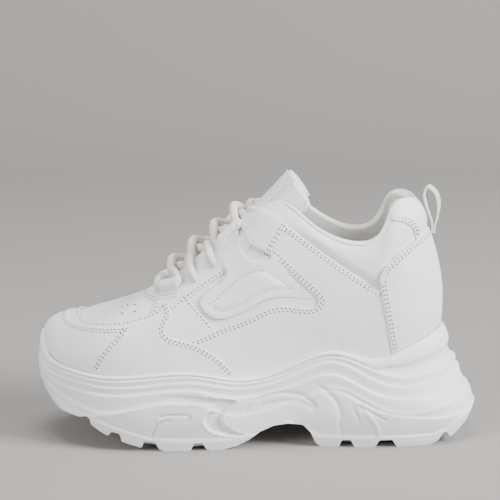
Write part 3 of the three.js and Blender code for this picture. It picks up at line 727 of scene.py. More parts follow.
def side_slab(outline, low, high, name):
    """A side-view outline as a closed solid between two widths."""
    outline = np.asarray(outline, float)
    count = len(outline)
    points = np.vstack([stack(outline[:, 0], y, outline[:, 1]) for y in (low, high)])
    i = np.arange(count)
    j = (i + 1) % count
    faces = np.stack([i, j, j + count, i + count], -1).tolist() + end_caps(len(points), count)
    return mesh_from(name, points, faces, weld=False)


# ---------- panels ----------
PANEL_BASE = -0.25        # a panel's underside, sunk into the ground leather so that no gap shows


def fill_loop(loop, gap):
    """Triangles filling a counter-clockwise (station, height) loop, with points gap mm apart."""
    flat = loop * CARD_SCALE
    gap_u, gap_t = gap / CARD_SCALE
    low, high = loop.min(0), loop.max(0)
    us = np.arange(low[0], high[0], gap_u)
    ts = np.arange(low[1], high[1], gap_t)
    inner = np.stack(np.meshgrid(us, ts), -1).reshape(-1, 2)
    inner = inner[within(inner, loop)]
    if len(inner):
        gaps = [np.min(np.hypot(*(flat - p).T)) for p in inner * CARD_SCALE]
        inner = inner[np.asarray(gaps) > gap * 0.5]
    every = np.vstack([flat, inner * CARD_SCALE])
    edges = [(i, (i + 1) % len(loop)) for i in range(len(loop))]
    points, _, faces, origins, _, _ = delaunay_2d_cdt(
        [Vector(p) for p in every.tolist()], edges, [], 1, 1e-6)
    where = {}
    for made, sources in enumerate(origins):
        for source in sources:
            where[source] = made
    placed = np.array([(p.x, p.y) for p in points]) / CARD_SCALE
    return placed, [list(f) for f in faces], [where[i] for i in range(len(loop))]


def panel_shell(outline, height, edge=0.55, gap=1.9, soften=None):
    """(points, faces, marks) of a cut panel with rounded edges, lying on the ground leather."""
    lift = height if callable(height) else (lambda u, t: np.full(np.shape(u), float(height)))
    loop = route(outline, closed=True)
    if signed_area(loop) < 0:
        loop = loop[::-1]
    rings = []
    for inset, share in ((0, None), (0, 0.5), (0.15, 0.82), (0.45, 0.96), (1, 1)):
        line = moved(loop, inset * edge, closed=True) if inset else loop
        up = PANEL_BASE if share is None else share * lift(line[:, 0], line[:, 1])
        rings.append(raised(line[:, 0], line[:, 1], up))
    placed, triangles, rim = fill_loop(line, gap)
    top_lift = lift(placed[:, 0], placed[:, 1])
    if soften is not None:
        top_lift = top_lift + soften(placed[:, 0], placed[:, 1])
    top = raised(placed[:, 0], placed[:, 1], top_lift)
    bottom = raised(placed[:, 0], placed[:, 1], PANEL_BASE)
    count = len(loop)
    top_start = count * (len(rings) - 1)
    bottom_start = top_start + len(top)
    i = np.arange(count)
    j = (i + 1) % count
    faces = []
    for r in range(len(rings) - 2):
        a, b = r * count, (r + 1) * count
        faces += np.stack([a + i, b + i, b + j, a + j], -1).tolist()
    rim = np.array(rim)
    last = (len(rings) - 2) * count
    faces += np.stack([last + i, top_start + rim[i], top_start + rim[j], last + j], -1).tolist()
    faces += [[top_start + k for k in reversed(f)] for f in triangles]
    faces += np.stack([i, j, bottom_start + rim[j], bottom_start + rim[i]], -1).tolist()
    faces += [[bottom_start + k for k in f] for f in triangles]
    points = np.vstack(rings[:-1] + [top, bottom])
    # Painted shade along the panel's edge: full at its foot on the ground leather, half one ring
    # up; the leather's material darkens by it.
    shade = np.zeros((len(points), 3))
    shade[:count] = 1.0
    shade[count:2 * count] = 0.5
    return points, faces, {"crease": shade}


def add_panel(name, outline, height, material, slot, punch=None, **options):
    """A finished panel. punch: makes a closed mesh whose holes are cut through it."""
    points, faces, marks = panel_shell(outline, height, **options)
    mesh = mesh_from(name, points, faces, marks=marks)
    if punch is not None:
        mesh = boolean(mesh, punch(), "DIFFERENCE", name)
    return add_object(name, mesh, material, slot)


def both_sides(name, outline, height, material, slot, soften=None, **options):
    """A panel on the outer side and the same cut on the inner side."""
    def twin(rule):
        return (lambda u, t: rule(STATIONS - u, t)) if callable(rule) else rule
    add_panel(f"{name}_outer", outline, height, material, slot, soften=soften, **options)
    add_panel(f"{name}_inner", mirrored(outline), twin(height), material, slot,
              soften=twin(soften), **options)


# ---------- shader effects ----------
def new_group(name, inputs, outputs):
    """An empty shader group with named sockets: (name, kind, default)."""
    group = bpy.data.node_groups.new(name, "ShaderNodeTree")
    for label, kind, default in inputs:
        socket = group.interface.new_socket(label, in_out="INPUT", socket_type=kind)
        if default is not None:
            socket.default_value = default
    for label, kind in outputs:
        group.interface.new_socket(label, in_out="OUTPUT", socket_type=kind)
    return group, group.nodes.new("NodeGroupInput"), group.nodes.new("NodeGroupOutput")


def math_node(tree, kind, a, b=None, c=None, clamp=False):
    node = tree.nodes.new("ShaderNodeMath")
    node.operation = kind
    node.use_clamp = clamp
    for socket, value in zip(node.inputs, (a, b, c)):
        if value is None:
            continue
        if isinstance(value, (int, float)):
            socket.default_value = value
        else:
            tree.links.new(value, socket)
    return node.outputs[0]


def noise(tree, place, scale, detail=2.0, rough=0.5):
    node = tree.nodes.new("ShaderNodeTexNoise")
    tree.links.new(place, node.inputs["Vector"])
    node.inputs["Scale"].default_value = scale
    node.inputs["Detail"].default_value = detail
    node.inputs["Roughness"].default_value = rough
    return node.outputs["Fac"]


def grain_group():
    """Pebbled leather grain with broad unevenness."""
    group, given, out = new_group(
        "Leather grain",
        (("Place", "NodeSocketVector", None), ("Cells per metre", "NodeSocketFloat", 900.0),
         ("Unevenness", "NodeSocketFloat", 0.5)),
        (("Height", "NodeSocketFloat"), ("Tone", "NodeSocketFloat")))
    cells = group.nodes.new("ShaderNodeTexVoronoi")
    cells.feature = "SMOOTH_F1"
    cells.inputs["Smoothness"].default_value = 0.6
    group.links.new(given.outputs["Place"], cells.inputs["Vector"])
    group.links.new(given.outputs["Cells per metre"], cells.inputs["Scale"])
    fine = noise(group, given.outputs["Place"], 1800.0, 2.0)
    broad = noise(group, given.outputs["Place"], 45.0, 3.0)
    pebble = math_node(group, "MULTIPLY_ADD", cells.outputs["Distance"], -0.7, 0.8)
    height = math_node(group, "MULTIPLY_ADD", fine, 0.35, pebble)
    group.links.new(height, out.inputs["Height"])
    level = math_node(group, "SUBTRACT", broad, 0.5)
    tone = math_node(group, "MULTIPLY_ADD", level, given.outputs["Unevenness"], 0.5, clamp=True)
    group.links.new(tone, out.inputs["Tone"])
    return group


def soiling_group():
    """Handling dust: strongest low down, broken up by noise."""
    group, given, out = new_group(
        "Handling dust",
        (("Place", "NodeSocketVector", None), ("Low", "NodeSocketFloat", 0.0),
         ("High", "NodeSocketFloat", 0.05), ("Amount", "NodeSocketFloat", 0.3)),
        (("Mask", "NodeSocketFloat"),))
    split = group.nodes.new("ShaderNodeSeparateXYZ")
    group.links.new(given.outputs["Place"], split.inputs[0])
    span = group.nodes.new("ShaderNodeMapRange")
    group.links.new(split.outputs["Z"], span.inputs["Value"])
    group.links.new(given.outputs["Low"], span.inputs["From Min"])
    group.links.new(given.outputs["High"], span.inputs["From Max"])
    span.inputs["To Min"].default_value = 1.0
    span.inputs["To Max"].default_value = 0.0
    patchy = noise(group, given.outputs["Place"], 60.0, 5.0, 0.6)
    spread = math_node(group, "MULTIPLY", span.outputs["Result"], patchy)
    mask = math_node(group, "MULTIPLY", spread, given.outputs["Amount"], clamp=True)
    group.links.new(mask, out.inputs["Mask"])
    return group


def weave_group():
    """Plain weave from two lengths: crossing ribs that pass over and under."""
    group, given, out = new_group(
        "Woven threads",
        (("Along", "NodeSocketFloat", 0.0), ("Across", "NodeSocketFloat", 0.0),
         ("Slant", "NodeSocketFloat", 0.0)),
        (("Height", "NodeSocketFloat"), ("Tone", "NodeSocketFloat")))
    one = math_node(group, "MULTIPLY_ADD", given.outputs["Across"], given.outputs["Slant"],
                    given.outputs["Along"])
    less = math_node(group, "MULTIPLY", given.outputs["Slant"], -1.0)
    straight = math_node(group, "SUBTRACT", 1.0, given.outputs["Slant"])
    two = math_node(group, "MULTIPLY_ADD", given.outputs["Along"], less, given.outputs["Across"])
    two = math_node(group, "MULTIPLY_ADD", two, straight,
                    math_node(group, "MULTIPLY", given.outputs["Slant"],
                              math_node(group, "SUBTRACT", given.outputs["Along"],
                                        given.outputs["Across"])))
    wave_one = math_node(group, "SINE", math_node(group, "MULTIPLY", one, 2 * math.pi))
    wave_two = math_node(group, "SINE", math_node(group, "MULTIPLY", two, 2 * math.pi))
    cross = math_node(group, "MULTIPLY", wave_one, wave_two)
    height = math_node(group, "MULTIPLY_ADD", cross, 0.5, 0.5)
    group.links.new(height, out.inputs["Height"])
    group.links.new(math_node(group, "POWER", height, 2.0), out.inputs["Tone"])
    return group


SHARED = {}


def shared(maker):
    """What the maker makes, made once and used again after that."""
    if maker not in SHARED:
        SHARED[maker] = maker()
    return SHARED[maker]


def effect(tree, maker, links, values):
    """A shared shader effect put into a material with its own values."""
    node = tree.nodes.new("ShaderNodeGroup")
    node.node_tree = shared(maker)
    for label, source in links.items():
        tree.links.new(source, node.inputs[label])
    for label, value in values.items():
        node.inputs[label].default_value = value
    return node


def mix_colour(tree, factor, a, b):
    node = tree.nodes.new("ShaderNodeMix")
    node.data_type = "RGBA"
    tree.links.new(factor, node.inputs["Factor"])
    for socket, value in ((node.inputs["A"], a), (node.inputs["B"], b)):
        if isinstance(value, bpy.types.NodeSocket):
            tree.links.new(value, socket)
        else:
            socket.default_value = (*value, 1.0)
    return node.outputs["Result"]


def bump(tree, height, depth):
    node = tree.nodes.new("ShaderNodeBump")
    node.inputs["Distance"].default_value = depth
    tree.links.new(height, node.inputs["Height"])
    return node.outputs["Normal"]


def start_material(name, roughness, specular=0.5):
    """(material, node tree, shader, object coordinates)."""
    material = bpy.data.materials.new(name)
    material.use_nodes = True
    tree = material.node_tree
    shader = tree.nodes["Principled BSDF"]
    shader.inputs["Roughness"].default_value = roughness
    shader.inputs["Specular IOR Level"].default_value = specular
    place = tree.nodes.new("ShaderNodeTexCoord").outputs["Object"]
    return material, tree, shader, place


def spread_roughness(tree, shader, source, low, high):
    span = tree.nodes.new("ShaderNodeMapRange")
    tree.links.new(source, span.inputs["Value"])
    span.inputs["To Min"].default_value = low
    span.inputs["To Max"].default_value = high
    tree.links.new(span.outputs["Result"], shader.inputs["Roughness"])


def darker(colour, share, tint=(1.0, 1.0, 1.0)):
    return tuple(c * share * k for c, k in zip(colour, tint))


def held_shade(tree, share):
    """Shade held in seams and creases, from the piece's own crease attribute."""
    held = tree.nodes.new("ShaderNodeAttribute")
    held.attribute_name = "crease"
    return math_node(tree, "MULTIPLY", held.outputs["Fac"], share)


def leather_material(name, colour, cells=900.0, depth=0.00011, roughness=0.5):
    material, tree, shader, place = start_material(name, roughness, 0.4)
    grain = effect(tree, grain_group, {"Place": place},
                   {"Cells per metre": cells, "Unevenness": 0.9})
    dust = effect(tree, soiling_group, {"Place": place},
                  {"Low": 0.045, "High": 0.09, "Amount": 0.35})
    tone = mix_colour(tree, grain.outputs["Tone"], darker(colour, 0.95), colour)
    tone = mix_colour(tree, dust.outputs["Mask"], tone, darker(colour, 0.86, (1, 0.985, 0.95)))
    # Painted shade along the panels' edges and seams, from their crease attribute.
    tone = mix_colour(tree, held_shade(tree, 0.9), tone, darker(colour, 0.36))
    tree.links.new(tone, shader.inputs["Base Color"])
    spread_roughness(tree, shader, grain.outputs["Tone"], roughness - 0.07, roughness + 0.07)
    tree.links.new(bump(tree, grain.outputs["Height"], depth), shader.inputs["Normal"])
    shader.inputs["Coat Weight"].default_value = 0.06
    shader.inputs["Coat Roughness"].default_value = 0.4
    return material


def rubber_material(name, colour, roughness=0.5):
    """Moulded rubber: a faint mould texture, and dust held in the creases."""
    material, tree, shader, place = start_material(name, roughness, 0.45)
    grain = effect(tree, grain_group, {"Place": place},
                   {"Cells per metre": 1500.0, "Unevenness": 0.5})
    dust = effect(tree, soiling_group, {"Place": place},
                  {"Low": 0.0, "High": 0.03, "Amount": 0.6})
    tone = mix_colour(tree, grain.outputs["Tone"], darker(colour, 0.97), colour)
    tone = mix_colour(tree, dust.outputs["Mask"], tone, darker(colour, 0.8, (1, 0.98, 0.94)))
    # Painted shade in the sole's grooves, recesses and band edges, from its crease attribute.
    tone = mix_colour(tree, held_shade(tree, 1.0), tone, darker(colour, 0.72, (1, 0.99, 0.98)))
    tree.links.new(tone, shader.inputs["Base Color"])
    spread_roughness(tree, shader, grain.outputs["Tone"], roughness - 0.05, roughness + 0.08)
    tree.links.new(bump(tree, grain.outputs["Height"], 0.00003), shader.inputs["Normal"])
    return material


def mesh_lining_material(name, colour):
    """Spacer mesh: a close field of small open cells."""
    material, tree, shader, place = start_material(name, 0.9, 0.2)
    cells = tree.nodes.new("ShaderNodeTexVoronoi")
    cells.inputs["Scale"].default_value = 1300.0
    cells.inputs["Randomness"].default_value = 0.25
    tree.links.new(place, cells.inputs["Vector"])
    open_part = tree.nodes.new("ShaderNodeMapRange")
    tree.links.new(cells.outputs["Distance"], open_part.inputs["Value"])
    open_part.inputs["From Min"].default_value = 0.2
    open_part.inputs["From Max"].default_value = 0.5
    # Painted shade in each cell's opening.
    tone = mix_colour(tree, open_part.outputs["Result"], darker(colour, 0.84), colour)
    tree.links.new(tone, shader.inputs["Base Color"])
    tree.links.new(bump(tree, open_part.outputs["Result"], 0.00012), shader.inputs["Normal"])
    shader.inputs["Sheen Weight"].default_value = 0.3
    return material


def woven_material(name, colour, along, across, slant, depth=0.0002, round_cord=False):
    """Cord or webbing: threads along and across the piece, from its weave attribute.

    The attribute holds the length along it in metres, then the place across in metres, or the
    direction round a cord as a cosine and a sine."""
    material, tree, shader, place = start_material(name, 0.85, 0.25)
    laid = tree.nodes.new("ShaderNodeAttribute")
    laid.attribute_name = "weave"
    split = tree.nodes.new("ShaderNodeSeparateXYZ")
    tree.links.new(laid.outputs["Vector"], split.inputs[0])
    sideways = split.outputs["Y"]
    if round_cord:
        turn = math_node(tree, "ARCTAN2", split.outputs["Z"], split.outputs["Y"])
        sideways = math_node(tree, "MULTIPLY", turn, 0.5 / math.pi)
    weave = effect(
        tree, weave_group,
        {"Along": math_node(tree, "MULTIPLY", split.outputs["X"], along),
         "Across": math_node(tree, "MULTIPLY", sideways, across)},
        {"Slant": slant})
    fuzz = noise(tree, place, 2500.0, 3.0)
    # Painted shade where the threads dip under each other.
    tone = mix_colour(tree, weave.outputs["Tone"], darker(colour, 0.8, (1, 0.99, 0.96)), colour)
    tree.links.new(tone, shader.inputs["Base Color"])
    height = math_node(tree, "MULTIPLY_ADD", fuzz, 0.25, weave.outputs["Height"])
    tree.links.new(bump(tree, height, depth), shader.inputs["Normal"])
    shader.inputs["Sheen Weight"].default_value = 0.25
    return material


def patchy_material(name, colour, roughness, specular, scale, detail, low):
    """A plain finish, darker in patches down to a low share of its colour."""
    material, tree, shader, place = start_material(name, roughness, specular)
    patches = noise(tree, place, scale, detail)
    tree.links.new(mix_colour(tree, patches, darker(colour, low), colour),
                   shader.inputs["Base Color"])
    return material


MATERIALS = {}


def material_for(look):
    """The finish called look, made once from the panel's colours."""
    if look in MATERIALS:
        return MATERIALS[look]
    c = bpy.context.scene.sneaker_colours
    makers = {
        "leather": lambda: leather_material("White grained leather", c.leather),
        "trim": lambda: leather_material("White trim leather", c.leather, 1100.0, 0.00007, 0.46),
        "tongue": lambda: leather_material("Soft white tongue leather", c.leather, 800.0, 0.00012,
                                           0.55),
        "ribbon": lambda: leather_material("Cream tongue ribbon", c.ribbon, 1500.0, 0.00005, 0.7),
        "foam": lambda: rubber_material("White midsole foam", c.rubber, 0.55),
        "rubber": lambda: rubber_material("White outsole rubber", c.rubber, 0.48),
        "lining": lambda: mesh_lining_material("Off-white spacer mesh", c.lining),
        "lace": lambda: woven_material("Cream braided cord", c.lace, 420.0, 4.0, 1.0, 0.0003, True),
        "webbing": lambda: woven_material("White webbing", c.webbing, 900.0, 900.0, 0.0, 0.0002),
        "thread": lambda: patchy_material("White seam thread", c.thread, 0.6, 0.4, 4000.0, 1.0,
                                          0.9),
        "holes": lambda: patchy_material("Needle hole shade", c.hole, 0.95, 0.1, 900.0, 2.0, 0.7),
    }
    MATERIALS[look] = makers[look]()
    return MATERIALS[look]


# ---------- what repeats along a line ----------
def new_geometry_tree(name, inputs):
    tree = bpy.data.node_groups.new(name, "GeometryNodeTree")
    tree.interface.new_socket("Geometry", in_out="INPUT", socket_type="NodeSocketGeometry")
    for label, kind, default in inputs:
        socket = tree.interface.new_socket(label, in_out="INPUT", socket_type=kind)
        if default is not None:
            socket.default_value = default
    tree.interface.new_socket("Geometry", in_out="OUTPUT", socket_type="NodeSocketGeometry")
    return tree, tree.nodes.new("NodeGroupInput"), tree.nodes.new("NodeGroupOutput")


def end_in_material(tree, given, out, geometry):
    """The tree's last steps: plain mesh in the given material."""
    real = tree.nodes.new("GeometryNodeRealizeInstances")
    painted = tree.nodes.new("GeometryNodeSetMaterial")
    tree.links.new(geometry, real.inputs["Geometry"])
    tree.links.new(real.outputs["Geometry"], painted.inputs["Geometry"])
    tree.links.new(given.outputs["Material"], painted.inputs["Material"])
    tree.links.new(painted.outputs["Geometry"], out.inputs["Geometry"])
    return tree


def facing_rotation(tree):
    """Rotation that lays X along the line and turns Z to the facing attribute."""
    facing = tree.nodes.new("GeometryNodeInputNamedAttribute")
    facing.data_type = "FLOAT_VECTOR"
    facing.inputs["Name"].default_value = "facing"
    tangent = tree.nodes.new("GeometryNodeInputTangent")
    first = tree.nodes.new("FunctionNodeAlignRotationToVector")
    first.axis = "Z"
    tree.links.new(facing.outputs["Attribute"], first.inputs["Vector"])
    second = tree.nodes.new("FunctionNodeAlignRotationToVector")
    second.axis = "X"
    second.pivot_axis = "Z"
    tree.links.new(first.outputs["Rotation"], second.inputs["Rotation"])
    tree.links.new(tangent.outputs["Tangent"], second.inputs["Vector"])
    return second.outputs["Rotation"]


def seam_tree():
    """Small ellipsoids at an even pitch along each line: stitches, needle holes, punched holes."""
    tree, given, out = new_geometry_tree("Seam row", (
        ("Pitch", "NodeSocketFloat", 0.0027), ("Size", "NodeSocketVector", None),
        ("Offset", "NodeSocketVector", None), ("Material", "NodeSocketMaterial", None)))
    link = tree.links.new
    curve = tree.nodes.new("GeometryNodeMeshToCurve")
    link(given.outputs["Geometry"], curve.inputs["Mesh"])
    spaced = tree.nodes.new("GeometryNodeResampleCurve")
    spaced.mode = "LENGTH"
    link(curve.outputs["Curve"], spaced.inputs["Curve"])
    link(given.outputs["Pitch"], spaced.inputs["Length"])
    bead = tree.nodes.new("GeometryNodeMeshUVSphere")
    bead.inputs["Segments"].default_value = 7
    bead.inputs["Rings"].default_value = 4
    bead.inputs["Radius"].default_value = 0.5
    shaped = tree.nodes.new("GeometryNodeTransform")
    link(bead.outputs["Mesh"], shaped.inputs["Geometry"])
    link(given.outputs["Offset"], shaped.inputs["Translation"])
    link(given.outputs["Size"], shaped.inputs["Scale"])
    instances = tree.nodes.new("GeometryNodeInstanceOnPoints")
    link(spaced.outputs["Curve"], instances.inputs["Points"])
    link(shaped.outputs["Geometry"], instances.inputs["Instance"])
    link(facing_rotation(tree), instances.inputs["Rotation"])
    return end_in_material(tree, given, out, instances.outputs["Instances"])


def rib_tree():
    """A low rounded rib along each line."""
    tree, given, out = new_geometry_tree("Tread ribs", (
        ("Radius", "NodeSocketFloat", 0.0004), ("Sides", "NodeSocketInt", 6),
        ("Material", "NodeSocketMaterial", None)))
    link = tree.links.new
    curve = tree.nodes.new("GeometryNodeMeshToCurve")
    link(given.outputs["Geometry"], curve.inputs["Mesh"])
    profile = tree.nodes.new("GeometryNodeCurvePrimitiveCircle")
    link(given.outputs["Sides"], profile.inputs["Resolution"])
    link(given.outputs["Radius"], profile.inputs["Radius"])
    swept = tree.nodes.new("GeometryNodeCurveToMesh")
    swept.inputs["Fill Caps"].default_value = True
    link(curve.outputs["Curve"], swept.inputs["Curve"])
    link(profile.outputs["Curve"], swept.inputs["Profile Curve"])
    return end_in_material(tree, given, out, swept.outputs["Mesh"])


def lines_mesh(name, lines, facings):
    """A mesh of open or closed lines: (points in mm, closed), with the way each point faces."""
    points, edges, facing = [], [], []
    for k, (line, closed) in enumerate(lines):
        start = len(points)
        count = len(line)
        points.extend(((line + SHIFT) * MM).tolist())
        edges += [(start + i, start + i + 1) for i in range(count - 1)]
        if closed:
            edges.append((start + count - 1, start))
        if facings is not None:
            facing.extend(facings[k].tolist())
    mesh = bpy.data.meshes.new(name)
    mesh.from_pydata(points, edges, [])
    if facings is not None:
        stored = mesh.attributes.new("facing", "FLOAT_VECTOR", "POINT")
        stored.data.foreach_set("vector", np.array(facing, np.float32).ravel())
    return mesh


def grown_along(name, lines, facings, maker, values, look, slot):
    """Lines run through the maker's geometry tree, as one plain mesh piece."""
    material = material_for(look)
    values = {**values, "Material": material}
    tree = shared(maker)
    source = bpy.data.objects.new(name + "_lines", lines_mesh(name, lines, facings))
    bpy.context.scene.collection.objects.link(source)
    step = source.modifiers.new("grow", "NODES")
    step.node_group = tree
    for item in tree.interface.items_tree:
        if item.item_type == "SOCKET" and item.in_out == "INPUT" and item.name in values:
            step[item.identifier] = values[item.name]
    bpy.context.view_layer.update()
    graph = bpy.context.evaluated_depsgraph_get()
    made = bpy.data.meshes.new_from_object(source.evaluated_get(graph), depsgraph=graph)
    source.modifiers.remove(step)
    bpy.data.objects.remove(source)
    if not made.polygons:
        raise RuntimeError(f"{name}: nothing grew along its lines")
    made.name = name
    if "facing" in made.attributes:
        made.attributes.remove(made.attributes["facing"])
    made.polygons.foreach_set("use_smooth", [True] * len(made.polygons))
    return add_object(name, made, material, slot)


# ---------- sole ----------
SOLE_COLUMNS = 760
# Side-view grooves and creases moulded in the wall: line, depth (negative: a ridge), half width.
WALL_LINES = (
    (((60, 23.3), (55, 24.3), (49, 24.3), (43, 23.9), (41, 22.6), (43, 20)), 0.9, 0.8),
    (((66, 8.9), (64, 13.5), (62, 17.4), (58, 20), (54, 21.3)), 0.9, 0.8),
    (((122, 33.3), (117, 32), (114, 29.3), (113, 24.7), (112, 16.1)), 1.0, 0.9),
    (((6, 25.1), (4, 28.4)), 0.9, 0.9),
    (((-2, 32.3), (-8, 34.9), (-17, 36.2), (-27, 34.9), (-34, 31.6), (-38, 27)), 1.1, 1.0),
    (((-4, 28.3), (-15, 30.3), (-26, 30.3), (-32, 29), (-37, 25)), 0.8, 0.9),
    (((-62, 27.6), (-64, 23), (-66, 17.7)), 0.8, 0.8),
    (((-64, 27.6), (-70, 25.6), (-77, 21.7), (-83, 18.4)), 0.8, 0.8),
    (((-71, 22.3), (-75, 17.7), (-78, 11.8), (-78, 6.5)), -0.7, 1.2),
    (((-9, 45.6), (-22, 49.5), (-31, 53.4), (-41, 57.3), (-53, 59.3)), 0.7, 0.7),
)
# The ribbed pod of the forefoot, and the lobe round it: the floor between them lies deeper.
FORE_POD = (
    (112, 20.5), (106, 21.1), (92, 23.7), (79, 27.6), (70, 30.2), (60, 31.5), (41, 31.5),
    (32, 30.2), (28, 29.5), (26, 26.9), (30, 25.6), (33, 21.1), (32, 17.1), (29, 13.2),
    (23, 10.6), (13, 8.6), (5, 8.6),
)
FORE_LOBE = (
    (72, 37.6), (52, 37.6), (32, 35.8), (19, 33.8), (13, 33.2), (12, 31.2), (14, 29.3),
    (19, 25.4), (21, 21.4), (19, 16.2), (12, 11.6), (5, 8.3),
)
HEEL_SCOOP = (
    (-34, 47), (-36, 40.5), (-42, 36.6), (-49, 29.4), (-52, 21.5), (-51, 14.9), (-54, 6),
    (-55, 11.3), (-57, 20.5), (-56, 28.3), (-52, 34.9), (-46, 38.8),
)
HEEL_POD_TOP = (
    (-46, 39.6), (-57, 37.6), (-66, 33.1), (-76, 27.8), (-85, 23.9), (-98, 21.9), (-111, 23.2),
    (-125, 26),
)


# Height of the ledge where the tread blocks stand out from the wall, from heel to toe.
LUG_LEDGE = np.array((
    (-135, 20), (-122, 10.4), (-112, 7.8), (-50, 7.8), (-41, 8), (-20, 18), (0, 10), (20, 7.8),
    (36, 7.8), (66, 9.2), (88, 15.8), (105, 21.8), (120, 24.5), (135, 33)), float)
EDGE_PROFILE = ((-0.08, 0.06, 0.18, 0.55, 1.0), (-2.2, -1.2, -0.5, 0.6, 1.4))
# The notches' tops, brought down to where the blocks' ledge hides them.
NOTCH_TOP = {7: 5.2, 8.4: 7.0, 7.8: 6.6, 15: 12.8, 14: 12.0, 9.4: 8.0}
NOTCH_DEPTH = 5.5         # how far the notches go in from the lip's line, mm
TIGHT = 0.05              # joint between the visible sole pieces
SLAB_HALF = 62            # side-view cutters reach past both sides of the sole
# Side view of the tread's middle, without the notches cut into its edge.
CORE_TREAD = (
    (136, 60), (135, 33), (131, 27), (124, 23), (112, 21.6), (104, 18.6), (98, 14), (93, 11.6),
    (84.6, 7.8), (72, 4), (61, 2.9), (55, 1.6), (41, 1.4), (31, 2), (20, 1.8), (12, 3.6),
    (4, 7.4), (-3, 12.2), (-12, 15.8), (-21, 17), (-30, 15.8), (-35, 11), (-38, 4.4), (-42, 1.4),
    (-90, 1.4), (-110, 1.6), (-117, 4), (-125, 6), (-135, 14), (-139, 20), (-150, 31), (-150, 60),
)


def wall_out(u, z):
    """How far the wall stands out from the lip at a height."""
    lip = sole["lip"](u)
    column = open_column([0 * lip, 0 * lip + LOW_HEIGHT, 0 * lip + MID_HEIGHT, lip],
                         [sole["outFoot"](u), sole["outLow"](u), sole["outMid"](u), 0 * lip])
    return column(np.minimum(z, lip))


def wall_point(u, z, extra):
    out = plan_out(u)
    far = wall_out(u, z) + extra
    return stack(sole["x"](u) + out[..., 0] * far, sole["y"](u) + out[..., 1] * far, z)


def wall_lines(u):
    """The sole wall's moulded lines at each station, from the lip down."""
    lip, first = sole["lip"](u), sole["crease1"](u)
    gap = lip - first
    cup = first + np.maximum(0.35, 0.45 * gap * smooth((gap - 6) / 5))
    return [lip, cup, first, sole["crease2"](u), sole["crease3"](u), sole["pod"](u)]


def side_relief(x, z):
    """Relief drawn on the wall in side view, and how deep in a crease each point is."""
    place = stack(x, z, 0)[..., :2]
    relief = np.zeros(x.shape)
    crease = np.zeros(x.shape)
    for points, depth, half in WALL_LINES:
        near = distance_to(place, through(points, False, 4))
        cut = np.exp(-(near / half) ** 2)
        relief -= depth * cut
        if depth > 0:
            crease = np.maximum(crease, cut)
    lobe = within(place, np.array(FORE_LOBE[::-1] + FORE_POD[3:]))
    lobe = lobe * smooth((66 - x) / 34)
    edge = np.minimum(distance_to(place, through(FORE_LOBE, False, 4)),
                      distance_to(place, through(FORE_POD, False, 4)))
    relief -= lobe * 2.4 * smooth(edge / 1.6)
    rim = np.minimum(distance_to(place, through(FORE_LOBE[2:], False, 4)),
                     distance_to(place, through(FORE_POD, False, 4)))
    relief += 0.7 * np.exp(-(rim / 1.1) ** 2) * (1 - lobe)
    scoop = within(place, np.array(HEEL_SCOOP)) * smooth((45 - z) / 9)
    edge = distance_to(place, np.array(HEEL_SCOOP + HEEL_SCOOP[:1], float))
    relief -= scoop * 2.6 * smooth(edge / 5)
    top_rim = distance_to(place, through(HEEL_POD_TOP, False, 4))
    relief += 0.7 * np.exp(-(top_rim / 1.1) ** 2)
    crease = np.maximum(crease, lobe * 0.35)
    block = smooth((np.interp(x, LUG_LEDGE[:, 0], LUG_LEDGE[:, 1]) - z) / 0.8)
    relief = relief * (1 - block) + 0.9 * block
    crease = crease * (1 - block)
    return relief, np.clip(crease, 0, 1)


def bridge(ring_start, ring, across, height, flip, point_start):
    """Closes a ring round the shoe with strips from side to side: (points, faces)."""
    count = len(ring)
    half = count // 2
    share = np.arange(1, across) / across
    i = np.arange(1, half)
    a, b = ring[i], ring[(count - i) % count]
    mid = a[:, None] + (b - a)[:, None] * share[None, :, None]
    mid[..., 2] = height(mid, np.broadcast_to(2 * share - 1, mid.shape[:2]))

    def index(row, k):
        if k == 0:
            return ring_start + row
        if k == across or row == half or row == 0:
            return ring_start + (count - row) % count
        return point_start + (row - 1) * (across - 1) + k - 1
    faces = []
    for row in range(half):
        for k in range(across):
            corners = [index(row, k), index(row + 1, k), index(row + 1, k + 1), index(row, k + 1)]
            faces += without_repeats(corners, flip)
    return mid.reshape(-1, 3), faces


